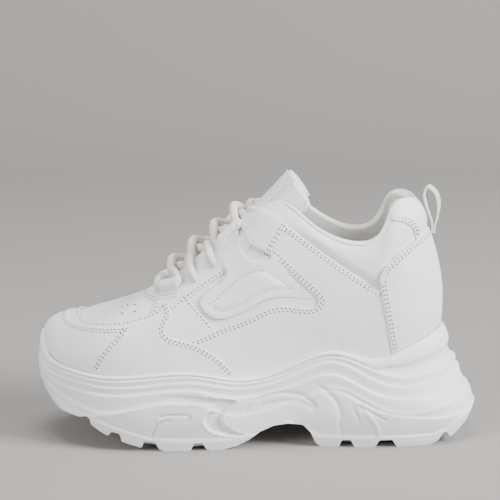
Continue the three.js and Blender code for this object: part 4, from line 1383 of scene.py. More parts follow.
def sole_body():
    """The whole sole as one closed mesh: moulded wall, rolled lip, cup and underside."""
    u = stations(SOLE_COLUMNS)
    lip, cup, first, second, third, pod = wall_lines(u)
    # creases: how much painted shade each wall point gets in the sole's material, in its grooves
    # and recesses.
    rows, creases = [], []

    def wall(z, extra, crease):
        p = wall_point(u, z, extra)
        relief, mark = side_relief(p[..., 0], p[..., 2])
        fade = smooth((lip - z) / 3)
        rows.append(wall_point(u, z, extra + relief * fade))
        creases.append(np.maximum(crease, mark * fade))

    floor = -0.08 * pod
    bare = 0.25 + 0.75 * smooth((138 - sole["x"](u) - 0.1 * sole["y"](u)) / 16)
    ledge = open_column(*EDGE_PROFILE)
    # The ribbed pod, with painted shade where it steps in at its top edge.
    for f in np.linspace(0, 1, 30):
        height = floor + (pod - floor) * f
        top = 1 - smooth((f - 0.955) / 0.045)
        out = ledge(np.full(u.shape, -0.08 + 1.08 * f)) * (0.25 + 0.75 * top)
        wall(height, out, (1 - top) * 0.7)
    for low, high, stand in ((pod, third, 1.7), (third, second, 1.6), (second, first, 1.5)):
        size = high - low
        for f in np.concatenate([np.linspace(0.02, 0.6, 7), 1 - np.geomspace(0.34, 0.02, 8)]):
            from_top = (1 - f) * size
            out = bare * stand * quarter_round(from_top / np.minimum(1.4, size * 0.4))
            out = out * (1 - 0.85 * smooth(1 - f))
            # Painted shade in the grooves at the top and foot of each band.
            dark = np.exp(-(from_top / 0.5) ** 2) + np.exp(-(f * size / 0.5) ** 2)
            wall(low + size * f, out, np.clip(dark, 0, 1) * 0.7 * bare)
    # The recessed cup under the lip, with half-strength painted shade over all of it.
    for f in np.linspace(0.04, 0.96, 9):
        deep = -1.5 * smooth((cup - first) / 4) - 0.25
        out = deep * math.sin(math.pi * f) ** 0.6 + 0 * u
        wall(first + (cup - first) * f, out, np.full(u.shape, 0.5))
    for f in np.linspace(0.03, 0.93, 9):
        wall(cup + (lip - cup) * f, 0.9 * math.sin(math.pi * f) ** 0.6 + 0 * u, 0 * u)
    for angle in np.linspace(0, math.pi, 9):
        radius = RIM_WALL / 2
        inset = radius - radius * math.cos(angle)
        rows.append(inset_point(u, inset, lip - 0.9 + 0.9 * math.sin(angle)))
        creases.append(0 * u)
    rows.append(inset_point(u, RIM_WALL, seat_height(u, RIM_WALL) - CLEARANCE))
    creases.append(0 * u)
    points = np.array(rows).reshape(-1, 3)
    faces = grid(len(rows), len(u))
    under, under_faces = bridge(0, rows[0], 4, lambda p, s: 0 * s - 2.5, False, len(points))
    points = np.vstack([points, under])
    faces += under_faces
    last = (len(rows) - 1) * len(u)
    floor_points, floor_faces = bridge(
        last, rows[-1], 6, lambda p, s: along["seat"](p[..., 0]), True, len(points))
    points = np.vstack([points, floor_points])
    faces += floor_faces
    marks = np.zeros((len(points), 3))
    marks[:len(u) * len(rows), 0] = np.array(creases).ravel()
    return mesh_from("sole_body", points, faces, marks={"crease": marks})


def tread_core():
    """The tread between the side notches: its blocks are only cut in from the wall."""
    u = stations(300)
    rows = [inset_point(u, NOTCH_DEPTH, z) for z in (-2.0, 12.0, 30.0)]
    points = np.array(rows).reshape(-1, 3)
    faces = grid(len(rows), len(u))
    low, low_faces = bridge(0, rows[0], 4, lambda p, s: 0 * s - 2.0, False, len(points))
    points = np.vstack([points, low])
    high, high_faces = bridge(
        (len(rows) - 1) * len(u), rows[-1], 4, lambda p, s: 0 * s + 30.0, True, len(points))
    points = np.vstack([points, high])
    mesh = mesh_from("tread_core", points, faces + low_faces + high_faces)
    return boolean(mesh, side_slab(CORE_TREAD, -60, 60, "core_cut"), "INTERSECT", "tread_core")


def grown(outline, distance):
    """A side-view outline moved outwards along its corners."""
    points = np.asarray(outline, float)
    turn = 1 if signed_area(points) > 0 else -1
    run = unit(np.roll(points, -1, 0) - points)
    normal = np.stack([run[:, 1], -run[:, 0]], -1) * turn
    before = np.roll(normal, 1, 0)
    both = unit(normal + before)
    reach = distance / np.maximum((both * normal).sum(1, keepdims=True), 0.4)
    return points + both * reach


def build_sole():
    body = sole_body()
    tread = fillet([(x, NOTCH_TOP.get(z, z)) for x, z in TREAD], 1.6)
    body = boolean(body, side_slab(tread, -SLAB_HALF, SLAB_HALF, "tread"), "INTERSECT", "sole")
    body = boolean(body, tread_core(), "UNION", "sole")
    fore, heel = fillet(FOREFOOT_SHELL, 3), fillet(HEEL_SHELL, 3)
    for name, outline, node in (("outsole_forefoot_moulded", fore, "outsole_forefoot"),
                                ("outsole_heel_moulded", heel, "outsole_heel")):
        mesh = boolean(body.copy(), side_slab(outline, -SLAB_HALF, SLAB_HALF, name), "INTERSECT",
                       name)
        piece = add_object(name, mesh, material_for("rubber"), "sole_rubber")
        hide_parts(node)
    for k, outline in enumerate((fore, heel)):
        room = side_slab(grown(outline, TIGHT), -SLAB_HALF - 1, SLAB_HALF + 1, f"room_{k}")
        body = boolean(body, room, "DIFFERENCE", "midsole_moulded")
    body.name = "midsole_moulded"
    piece = add_object("midsole_moulded", body, material_for("foam"), "sole_foam")
    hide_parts("midsole")


def pod_ribs():
    """Upright lines across the pods, evenly spaced round the wall."""
    pitch = bpy.context.scene.sneaker_sizes.rib_pitch / MM
    round_line = np.stack([stations(1500), np.full(1500, 14.0)], -1)
    spaced = even(round_line, lambda line: wall_point(line[:, 0], line[:, 1], 0.0), pitch)
    u, z = np.meshgrid(spaced[:, 0], np.arange(0.8, 39, 0.8), indexing="ij")
    wall = wall_point(u, z, 0.0)
    relief, _ = side_relief(wall[..., 0], z)
    line = wall_point(u, z, open_column(*EDGE_PROFILE)(np.minimum(z / sole["pod"](u), 1)) + relief)
    place = wall[..., ::2]
    tread = np.array(TREAD, float)
    clear = within(place, tread) & (distance_to(place, np.vstack([tread, tread[:1]])) > 1.4)
    clear &= (z < sole["pod"](u) * 0.965) & (z > np.interp(wall[..., 0], *LUG_LEDGE.T) + 0.4)
    lines = []
    for outline in (FORE_POD + ((5, -6), (112, -6)),
                    HEEL_POD_TOP + ((-125, -6), (-54, -6), (-55, 11.3), (-57, 20.5), (-56, 28.3),
                                    (-52, 34.9))):
        outline = np.array(outline, float)
        here = clear & within(place, outline)
        here &= distance_to(place, np.vstack([outline, outline[:1]])) > 0.8
        for column in range(len(spaced)):
            ends = np.flatnonzero(np.diff(np.concatenate([[0], here[column].astype(int), [0]])))
            for start, stop in zip(ends[::2], ends[1::2]):
                if stop - start > 2:
                    lines.append((line[column, start:stop], False))
    return lines


def build_pod_ribs():
    sizes = bpy.context.scene.sneaker_sizes
    lines = pod_ribs()
    for name, keep in (("forefoot_pod_ribs", lambda x: x > 0),
                       ("heel_pod_ribs", lambda x: x < 0)):
        own = [line for line in lines if keep(line[0][0, 0])]
        grown_along(name, own, None, rib_tree, {"Radius": sizes.rib_radius, "Sides": 5}, "rubber",
                    "sole_rubber")


# ---------- insole, leather shell, lining ----------
def build_insole():
    inset = WALL_INSET + UPPER_WALL + INSOLE_MARGIN
    u = stations(300)
    rows = [inset_point(u, inset, seat_height(u, inset))]
    edge = inset_point(u, inset, 0.0)
    high = along["bed"](edge[:, 0]) + along["dish"](edge[:, 0])
    for drop, more in ((1.2, 0), (0.5, 0.15), (0.12, 0.5), (0, 1.1)):
        rows.append(inset_point(u, inset + more, high - drop))
    points = np.array(rows).reshape(-1, 3)
    faces = grid(len(rows), len(u))
    under, under_faces = bridge(0, rows[0], 4, lambda p, s: along["seat"](p[..., 0]) + CLEARANCE,
                                False, len(points))
    points = np.vstack([points, under])
    faces += under_faces
    over, over_faces = bridge(
        (len(rows) - 1) * len(u), rows[-1], 28,
        lambda p, s: along["bed"](p[..., 0]) + along["dish"](p[..., 0]) * s * s, True, len(points))
    points = np.vstack([points, over])
    mesh = mesh_from("insole_sock", points, faces + over_faces)
    piece = add_object("insole_sock", mesh, material_for("lining"), "lining_mesh")
    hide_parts("insole")


def shell_rows(u, outer, inner, levels, top):
    """Rows of a closed wall from the seat up the outside, over its top edge and down inside."""
    def seat_row(depth):
        return inset_point(u, WALL_INSET + depth, seat_height(u, WALL_INSET))
    rows = [seat_row(-outer(u, np.zeros(u.shape)))]
    for t in levels:
        rows.append(off_upper(u, t, outer(u, np.full(u.shape, t))))
    rows += top
    for t in levels[::-1]:
        rows.append(off_upper(u, t, inner(u, np.full(u.shape, t))))
    rows.append(seat_row(-inner(u, np.zeros(u.shape))))
    return rows


def top_direction(u):
    return unit(upper_face(u, 1.0) - upper_face(u, 0.97))


def eyelet_cutters():
    """Round punches through both eyestays at the lace holes."""
    parts = []
    for u, t in EYELETS:
        for side in (u, STATIONS - u):
            ends = [off_upper(side, t, d) for d in (9.0, -9.0)]
            parts.append(tube(np.array(ends), EYELET_RADIUS, 20, up=(1, 0.3, 0)))
    points, faces = joined(parts)
    return mesh_from("punches", points, faces, weld=False)


def build_shell():
    u = stations(560)
    levels = np.concatenate([np.linspace(0, 0.9, 58), np.linspace(0.915, 1, 9)])
    rows = shell_rows(u, form, lambda a, t: np.full(a.shape, -BASE_SINK - LEATHER), levels,
                      [off_upper(u, 1.0, -BASE_SINK - LEATHER / 2) + top_direction(u) * 0.4])
    points = np.array(rows).reshape(-1, 3)
    mesh = mesh_from("upper_shell", points, grid(len(rows), len(u), ring=True))
    mesh = boolean(mesh, eyelet_cutters(), "DIFFERENCE", "upper_shell")
    piece = add_object("upper_shell", mesh, material_for("leather"), "upper_leather")
    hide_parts("upper")


def build_lining():
    u = stations(320)
    sink = -BASE_SINK - LEATHER - 0.12
    levels = np.concatenate([np.linspace(0, 0.86, 30), np.linspace(0.885, 1, 9)])
    pad = upper["pad"](u)
    up = top_direction(u)
    top = []
    for angle in np.linspace(0.25, math.pi - 0.25, 9):
        middle, half = (sink - pad) / 2, (pad + sink) / 2
        top.append(off_upper(u, 1.0, middle + half * math.cos(angle))
                   + up * (0.32 * (pad + sink) * math.sin(angle) + 0.3)[..., None])
    rows = shell_rows(u, lambda a, t: np.full(a.shape, sink), lambda a, t: -upper_wall(a, t),
                      levels, top)
    points = np.array(rows).reshape(-1, 3)
    mesh = mesh_from("collar_lining", points, grid(len(rows), len(u), ring=True))
    mesh = boolean(mesh, eyelet_cutters(), "DIFFERENCE", "collar_lining")
    piece = add_object("collar_lining", mesh, material_for("lining"), "lining_mesh")


def build_piping():
    """Rolled binding along the topline, from one lace strap round the heel to the other."""
    line = np.linspace(-6.9, 6.9, 190)
    centre = off_upper(line, 1.0, -BASE_SINK - 0.55) + top_direction(line) * 0.55
    ends = np.clip((6.9 - np.abs(line)) / 0.35, 0.15, 1) ** 0.5
    points, faces = tube(centre, 1.35 * ends, 12, up=upper_normal(line, 1.0))
    add_object("collar_piping", mesh_from("collar_piping", points, faces), material_for("trim"),
               "upper_leather")


# ---------- panels ----------
EYELETS = ((9.55, .713), (8.94, .755))
EYELET_RADIUS = 2.3
PUNCHED = (
    (12.85, .705), (12.31, .605), (12.6, .722), (12.01, .695), (11.65, .595),
)
QUARTER = (((8.3, -.02), (8.3, -.02), (2.9, -.02), (2.9, -.02), (2.9, .3), (3.1, .5), (3.3, .53))
           + COLLAR_EDGE[::-1] + COLLAR_EDGE[:1] + ((6.94, .675),) + WINDOW_EDGE[-2::-1]
           + WINDOW_EDGE[:1] + ((8.95, .13), (8.5, .05)))
CAP_LOOP = (TOE_CAP_EDGE[1:] + TOE_CAP_EDGE[-1:] + mirrored(TOE_CAP_EDGE[-1:]) * 2
            + mirrored(TOE_CAP_EDGE[-2::-1]))
SIDE_HALF = (VAMP_EDGE[1:] + SIDE_EDGE + SIDE_EDGE[-1:] + ((12.6, -.02), (12.6, -.02), (12.3, .16),
             (11.95, .27), (12.1, .33), (12.8, .34), (14, .36), (15, .35)))
SIDE_LOOP = SIDE_HALF + mirrored(SIDE_HALF[::-1]) + VAMP_EDGE[:1]


COUNTER_LOOP = (COUNTER_EDGE[:1] + COUNTER_EDGE
                + tuple((-u, t) for u, t in COUNTER_EDGE[-2::-1]) + ((-COUNTER_EDGE[0][0], -.02),))
HEEL_TAB_HALF = HEEL_TAB_EDGE[:1] + HEEL_TAB_EDGE + HEEL_TAB_EDGE[-1:]
HEEL_TAB_LOOP = HEEL_TAB_HALF + tuple((-u, t) for u, t in HEEL_TAB_HALF[::-1])


def leaf_relief(u, t):
    """The padded leaf sewn into the wing, with the groove its seam pulls in."""
    leaf = route(LEAF, closed=True, spacing=3)
    near = distance_to(upper_face(u, t), on_face(np.vstack([leaf, leaf[:1]])))
    inside = within(np.stack(np.broadcast_arrays(u, t), -1), leaf)
    return inside * 0.8 * smooth(near / 3.2) - 0.4 * np.exp(-(near / 0.8) ** 2)


def build_panels():
    leather, trim = material_for("leather"), material_for("trim")
    slot = "upper_leather"
    both_sides("triangle_panel", TRIANGLE, TRIANGLE_HEIGHT, leather, slot)
    both_sides("quarter", QUARTER, QUARTER_HEIGHT, leather, slot)
    both_sides("wing", WING_LOW + WING_HIDDEN + WING_HIGH, wing_height, leather, slot,
               soften=leaf_relief, gap=1.2, edge=1.3)
    add_panel("side_panel", SIDE_LOOP, SIDE_HEIGHT, leather, slot)
    add_panel("toe_cap", CAP_LOOP, CAP_HEIGHT, leather, slot)
    add_panel("heel_counter", COUNTER_LOOP, COUNTER_HEIGHT, leather, slot)
    add_panel("heel_tab", HEEL_TAB_LOOP, HEEL_TAB_HEIGHT, trim, slot)
    both_sides("eyestay", EYESTAY, EYESTAY_HEIGHT, leather, slot, punch=eyelet_cutters)


# ---------- seams ----------
SINGLE = (1.5,)           # rows of stitching: how far in from the panel's edge, mm
DOUBLE = (1.5, 3.2)
SEAMS = (
    (TOE_CAP_EDGE[:-1], CAP_HEIGHT, DOUBLE),
    (VAMP_EDGE, SIDE_HEIGHT, SINGLE),
    (SIDE_EDGE[:-1], SIDE_HEIGHT, DOUBLE),
    (WINDOW_EDGE[:-1], QUARTER_HEIGHT, DOUBLE),
    (COLLAR_EDGE, QUARTER_HEIGHT, DOUBLE),
    (COUNTER_EDGE[1:], COUNTER_HEIGHT, DOUBLE),
    (HEEL_TAB_EDGE[1:], HEEL_TAB_HEIGHT, (-1.5, -3.2)),
    (TRIANGLE[1:4], TRIANGLE_HEIGHT, SINGLE),
    (TRIANGLE[4:8], TRIANGLE_HEIGHT, SINGLE),
    (EYESTAY[9:17], EYESTAY_HEIGHT, (-1.5,)),
    (EYESTAY[:7], EYESTAY_HEIGHT, (-1.5,)),
    (STRAP[8:11], STRAP_HEIGHT, DOUBLE),
)


def seam_lines():
    """Every row as (points, closed), with the way the leather faces along it."""
    lines, facings = [], []

    def keep(line, height, closed):
        lines.append((raised(line[:, 0], line[:, 1], height), closed))
        facings.append(upper_normal(line[:, 0], line[:, 1]))
    for points, height, offsets in SEAMS:
        for points_here, way in ((points, 1), (mirrored(points), -1)):
            line = route(points_here, spacing=1.0)
            for offset in offsets:
                keep(moved(line, way * offset), height, False)
    for outline, inner in ((LEAF, False), (mirrored(LEAF), True)):
        loop = route(outline, closed=True, spacing=1.0)
        u = STATIONS - loop[:, 0] if inner else loop[:, 0]
        keep(loop, wing_height(u, loop[:, 1]) + leaf_relief(u, loop[:, 1]), True)
    return lines, facings


def build_seams():
    sizes = bpy.context.scene.sneaker_sizes
    lines, facings = seam_lines()
    pitch, radius = sizes.stitch_pitch, sizes.thread_radius
    grown_along("seam_thread", lines, facings, seam_tree,
                {"Pitch": pitch, "Size": (pitch * 0.6, radius * 2.1, radius * 1.5),
                 "Offset": (0.0, 0.0, 0.00004)}, "thread", "upper_leather")
    # Dark beads of painted shade at the needle holes, half a stitch along from each stitch.
    hole = sizes.hole_radius
    grown_along("seam_needle_hole_shade", lines, facings, seam_tree,
                {"Pitch": pitch, "Size": (hole * 2, hole * 2, hole * 0.7),
                 "Offset": (pitch * 0.5, 0.0, 0.0)}, "holes", "upper_leather")


def build_punched_holes():
    """Air holes punched in the vamp, each a short dark cup with a pressed rim."""
    lines, facings = [], []
    for u, t in PUNCHED:
        for side in (u, STATIONS - u):
            line = np.array([(side - 0.02, t), (side + 0.02, t)])
            lines.append((raised(line[:, 0], line[:, 1], 0.02), False))
            facings.append(upper_normal(line[:, 0], line[:, 1]))
    grown_along("punched_air_hole_shade", lines, facings, seam_tree,
                {"Pitch": 1.0, "Size": (0.0012, 0.0012, 0.0004), "Offset": (0.0, 0.0, 0.0)},
                "holes", "upper_leather")


# ---------- tongue ----------
TONGUE_END = len(TONGUE["crownX"]) - 1


def tongue_point(v, side, depth):
    """On the tongue's face at depth 0, and on its back at depth 1."""
    v, side, depth = np.broadcast_arrays(np.asarray(v, float), side, depth)
    row = {name: f(v) for name, f in tongue.items()}

    def at(s):
        return stack(row["crownX"] + (row["edgeX"] - row["crownX"]) * s * s, row["half"] * s,
                     row["crownZ"] + (row["edgeZ"] - row["crownZ"]) * s * s)
    step = 0.02
    across = at(side + step) - at(side - step)
    next_v, past_v = np.minimum(TONGUE_END, v + step), np.maximum(0, v - step)
    lengthwise = stack(tongue["crownX"](next_v) - tongue["crownX"](past_v), 0 * v,
                       tongue["crownZ"](next_v) - tongue["crownZ"](past_v))
    inward = unit(np.cross(across, lengthwise))
    inward = np.where(inward[..., 2:] > 0, -inward, inward)
    taper = 1 - 0.5 * side ** 4
    return at(side) + inward * (depth * row["thick"] * taper)[..., None]


def tongue_at(x):
    """How far up the tongue its crown lies at a length along the shoe."""
    v = np.linspace(0, TONGUE_END, 400)
    return np.interp(-x, -tongue["crownX"](v), v)


def over_tongue(x, side, lift):
    """A point above the tongue's face."""
    v = tongue_at(x)
    face, back = tongue_point(v, side, 0.0), tongue_point(v, side, 1.0)
    return face + unit(face - back) * lift


def tongue_puff(v, side):
    """Quilting: a raised centre strip between two seams and a full panel each side."""
    s = np.abs(side)
    strip = 0.7 * smooth((0.46 - s) / 0.06)
    panel = 1.9 * np.sin(math.pi * np.clip((s - 0.48) / 0.46, 0, 1)) ** 0.7
    seam_pull = -0.7 * np.exp(-((s - 0.47) / 0.025) ** 2)
    return (strip + panel + seam_pull) * smooth((TONGUE_END - v) / 0.35)


def build_tongue():
    near_end = 6.5 + 0.5 * np.sin(np.linspace(0.05, 1, 16) * math.pi / 2)
    v = np.concatenate([np.linspace(0, 6.5, 130), near_end])
    side = np.linspace(-1, 1, 72)
    side = np.sin(side * math.pi / 2) * 0.35 + side * 0.65
    vv, ss = np.meshgrid(v, side, indexing="ij")
    edge = np.clip((np.abs(ss) - 0.86) / 0.14, 0, 1)
    end = np.clip((vv - 6.7) / 0.3, 0, 1)
    far = np.clip(np.hypot(edge, end), 0, 1)
    round_off = 0.5 * (1 - np.sqrt(1 - far ** 2))
    lift = tongue_puff(vv, ss) / tongue["thick"](vv)
    face = tongue_point(vv, ss, round_off - lift)
    back = tongue_point(vv, ss, 1 - round_off)
    rows = np.concatenate([face, back[:, ::-1][:, 1:-1]], axis=1)
    count = rows.shape[1]
    points = rows.reshape(-1, 3)
    faces = grid(len(v), count)
    for row, flip in ((0, False), (len(v) - 1, True)):
        start = row * count
        width = len(side)
        for i in range(width - 1):
            a, b = start + i, start + i + 1
            c, d = start + (2 * width - 2 - i - 1) % count, start + (2 * width - 2 - i) % count
            faces += without_repeats([a, b, c, d], flip)
    mesh = mesh_from("tongue_padded", points, faces)
    piece = add_object("tongue_padded", mesh, material_for("tongue"), "tongue_leather")
    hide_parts("tongue")


def build_tongue_ribbon():
    v = np.linspace(0.3, 6.86, 150)
    strip_sides = np.linspace(-0.43, 0.43, 17)
    vv, ss = np.meshgrid(v, strip_sides, indexing="ij")
    height = 1.25 - 0.5 * (np.abs(ss) / 0.43) ** 8
    top = tongue_point(vv, ss, -height / tongue["thick"](vv))
    low = tongue_point(vv, ss, -0.3 / tongue["thick"](vv))
    rows = np.concatenate([top, low[:, ::-1]], axis=1)
    count = rows.shape[1]
    points = rows.reshape(-1, 3)
    faces = grid(len(v), count) + end_caps(len(points), count)
    add_object("tongue_ribbon", mesh_from("tongue_ribbon", points, faces), material_for("ribbon"),
               "tongue_leather")


def build_tongue_binding():
    """Rolled edging up both sides of the tongue and over its top."""
    corner = np.linspace(0, math.pi / 2, 24)
    up_side = [(w, -0.96) for w in np.linspace(1.2, 6.55, 70)]
    turn = [(6.55 + 0.42 * math.sin(a), -0.60 - 0.36 * math.cos(a)) for a in corner[1:]]
    top_line = [(6.97, s) for s in np.linspace(-0.56, 0.56, 30)]
    down_side = [(w, -s) for w, s in reversed(up_side + turn)]
    outline = np.array(up_side + turn + top_line + down_side)
    parts = []
    for depth, radius in ((0.22, 1.2), (0.7, 1.1)):
        centre = tongue_point(outline[:, 0], outline[:, 1], np.full(len(outline), depth))
        parts.append(tube(even(centre, lambda p: p, 1.2), radius, 10, up=(0.6, 0, 1)))
    points, faces = joined(parts)
    add_object("tongue_binding", mesh_from("tongue_binding", points, faces), material_for("trim"),
               "tongue_leather")


# ---------- laces and what holds them ----------
def own(u, side):
    """A station on the outer side (side 1) or its twin on the inner side (-1)."""
    return u if side > 0 else STATIONS - u


def lace_half(side):
    """The lace from the middle of its front bar up to its end under the strap."""
    def on(u, t, lift, where):
        return off_upper(own(u, where), t, lift)
    far = -side
    upper_way, lower_way = (9.4, 3.0) if side > 0 else (3.0, 9.4)
    return [
        over_tongue(58.5, 0.0, 3.2), over_tongue(59, 0.5 * side, 3.8),
        on(11.5, .93, 3.6, side), on(11.25, .84, 3.4, side), on(10.84, .795, 3.3, side),
        on(10.42, .757, 3.3, side), on(10.12, .74, 3.5, side), on(10.3, .83, 4.2, side),
        on(10.75, .94, 4.4, side), over_tongue(51, 0.5 * side, 4.8),
        over_tongue(47, 0, upper_way), over_tongue(42.5, 0.5 * far, 5.4),
        on(10.0, .96, 4.0, far), on(9.78, .83, 3.9, far), on(9.62, .755, 2.8, far),
        on(9.54, .712, -0.5, far), on(9.5, .74, -4.4, far), on(9.65, .88, -5.4, far),
        on(10.0, 1.0, -3.4, far), over_tongue(39.5, 0.62 * far, 3.0),
        over_tongue(34.5, 0, lower_way), over_tongue(29.5, 0.5 * side, 5.4),
        on(9.3, .95, 4.0, side), on(9.13, .86, 3.9, side), on(9.02, .795, 2.8, side),
        on(8.93, .755, -0.5, side), on(8.9, .79, -4.4, side), on(8.95, .9, -5.4, side),
        on(9.2, 1.0, -3.4, side), over_tongue(25, 0.62 * side, 3.0),
        over_tongue(20.5, 0, upper_way), over_tongue(15.5, 0.5 * far, 5.6),
        on(8.62, .965, 4.0, far), on(8.6, .91, 3.4, far),
        on(8.45, .915, 3.3, far), on(8.12, .94, 3.5, far),
        over_tongue(11.5, 0.6 * far, 3.8), over_tongue(7.5, 0, lower_way),
        over_tongue(3, 0.6 * side, 4.2), on(7.85, 1.0, 1.6, side), on(7.6, .96, 0.2, side),
        on(7.45, .92, -0.4, side),
    ]


def build_laces():
    radius = bpy.context.scene.sneaker_sizes.lace_radius / MM
    outer, inner = lace_half(1), lace_half(-1)
    knots = [np.asarray(p, float).reshape(3) for p in inner[::-1] + outer[1:]]
    line = even(through(knots, False, 12), lambda p: p, 0.8)
    sides = 14
    points, faces = tube(line, radius, sides, up=(1, 0, 0.5))
    run = np.concatenate([[0], np.cumsum(np.linalg.norm(np.diff(line, axis=0), axis=1))]) * MM
    angle = around(sides)
    marks = np.stack([np.repeat(run, sides), np.tile(np.cos(angle), len(line)),
                      np.tile(np.sin(angle), len(line))], -1)
    mesh = mesh_from("lace_cord", points, faces, weld=False, marks={"weave": marks})
    piece = add_object("lace_cord", mesh, material_for("lace"), "lace_cord")
    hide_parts("laces")


def folded_strip(stations_across, tops, lift, length, radius, thickness):
    """(points, faces) of a leather strip sewn down, rolled once round the lace and sewn back."""
    low, high = stations_across
    turn = np.linspace(-math.pi / 2, math.pi * 0.80, 22)
    path = [(-length, -radius)] + [(-length * f, -radius) for f in (0.75, 0.5, 0.25)]
    path += [(radius * math.cos(a), radius * math.sin(a)) for a in turn]
    path += [(-radius - 1.2, -radius + thickness * 1.25), (-length * 0.72, -radius + thickness)]
    path = even(through(np.array(path), False, 5), lambda p: p, 0.5)
    run = unit(np.gradient(path, axis=0))
    normal = np.stack([-run[:, 1], run[:, 0]], -1)
    across = np.linspace(0, 1, 19)
    width = abs(high - low) * 9.0
    rings = []
    for share in across:
        u = low + (high - low) * share
        top_t = tops[0] + (tops[1] - tops[0]) * share
        per_t = np.linalg.norm(upper_face(u, top_t + 0.01) - upper_face(u, top_t - 0.01)) / 0.02
        from_edge = min(share, 1 - share) * width
        half = thickness / 2 * (0.45 + 0.55 * math.sqrt(1 - (1 - min(from_edge / 0.5, 1)) ** 2))
        outline = np.vstack([path + normal * half, (path - normal * half)[::-1]])
        rings.append(off_upper(u, top_t + outline[:, 0] / per_t, lift + radius + outline[:, 1]))
    count = len(rings[0])
    faces = grid(len(rings), count) + end_caps(len(rings) * count, count)
    return np.array(rings).reshape(-1, 3), faces


def build_lace_tabs():
    for side, where in ((1, "outer"), (-1, "inner")):
        for name, at, half, top, lift, length in (
                ("front_lace_tab", 10.42, 0.44, (.723, .79), 0.1, 8.5),
                ("wing_lace_tab", 8.45, 0.3, (.938, .9), 0.2, 9.0)):
            ends = (own(at - half, side), own(at + half, side))
            points, faces = folded_strip(ends, top, lift, length, 3.45, 1.1)
            piece = add_object(f"{name}_fold_{where}",
                               mesh_from(f"{name}_fold_{where}", points, faces),
                               material_for("trim"), "trim_leather")
            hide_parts(f"{name}_{where}")
        outline = STRAP if side > 0 else mirrored(STRAP)

        def lift(u, t, side=side):
            u = u if side > 0 else STATIONS - u
            return STRAP_HEIGHT + 2.2 * smooth((t - .84) / .1) * smooth((u - 7.0) / 0.5)
        piece = add_panel(f"lace_strap_{where}_sewn", outline, lift, material_for("trim"),
                          "trim_leather", edge=0.7)
        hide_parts(f"lace_strap_{where}")


LOOP_PATH = (
    (-113, 131.5), (-113.2, 137.5), (-111.6, 144), (-109.6, 151), (-108.7, 157), (-110.8, 161.2),
    (-114.6, 158.6), (-117.2, 153), (-117.6, 147), (-116.4, 141), (-114.9, 136.6),
    (-114.4, 131.5),
)
LOOP_TWIST = 0.22         # how far the loop is turned, so that its near edge leans to the toe
LOOP_HALF_WIDTH = 4.5
LOOP_THICKNESS = 1.7
LOOP_SIDES = 24


def build_pull_loop():
    path = even(through(LOOP_PATH, False, 8), lambda p: p, 0.7)
    run = unit(np.gradient(path, axis=0))
    normal = np.stack([-run[:, 1], run[:, 0]], -1)
    length = np.concatenate([[0], np.cumsum(np.linalg.norm(np.diff(path, axis=0), axis=1))]) * MM
    section = []
    for angle in around(LOOP_SIDES):
        c, s = math.cos(angle), math.sin(angle)
        section.append((math.copysign(abs(c) ** 0.35, c) * LOOP_HALF_WIDTH,
                        math.copysign(abs(s) ** 0.6, s) * LOOP_THICKNESS / 2))
    section = np.array(section)
    place = path[:, None] + normal[:, None] * section[None, :, 1:]
    wide = np.broadcast_to(section[:, 0], place.shape[:2])
    turn = LOOP_TWIST * smooth((place[..., 1] - 137) / 14)
    points = stack(place[..., 0] + turn * wide, wide, place[..., 1]).reshape(-1, 3)
    marks = np.stack([np.repeat(length, LOOP_SIDES), np.tile(section[:, 0] * MM, len(path)),
                      0 * points[:, 0]], -1)
    faces = grid(len(path), LOOP_SIDES) + end_caps(len(points), LOOP_SIDES)
    mesh = mesh_from("heel_pull_loop", points, faces, weld=False, marks={"weave": marks})
    piece = add_object("heel_pull_loop", mesh, material_for("webbing"), "webbing")
    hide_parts("pull_loop")


# ---------- stage ----------
CAMERA_LENS = 172.8
CAMERA_PLACE = (0.004184, 1.5149, 0.4225)
CAMERA_AIM = (0.004184, 0.0, 0.11976)


def looking(place, aim):
    """The rotation of a lamp or camera at one place that looks at another."""
    return (Vector(aim) - Vector(place)).to_track_quat("-Z", "Y").to_euler()


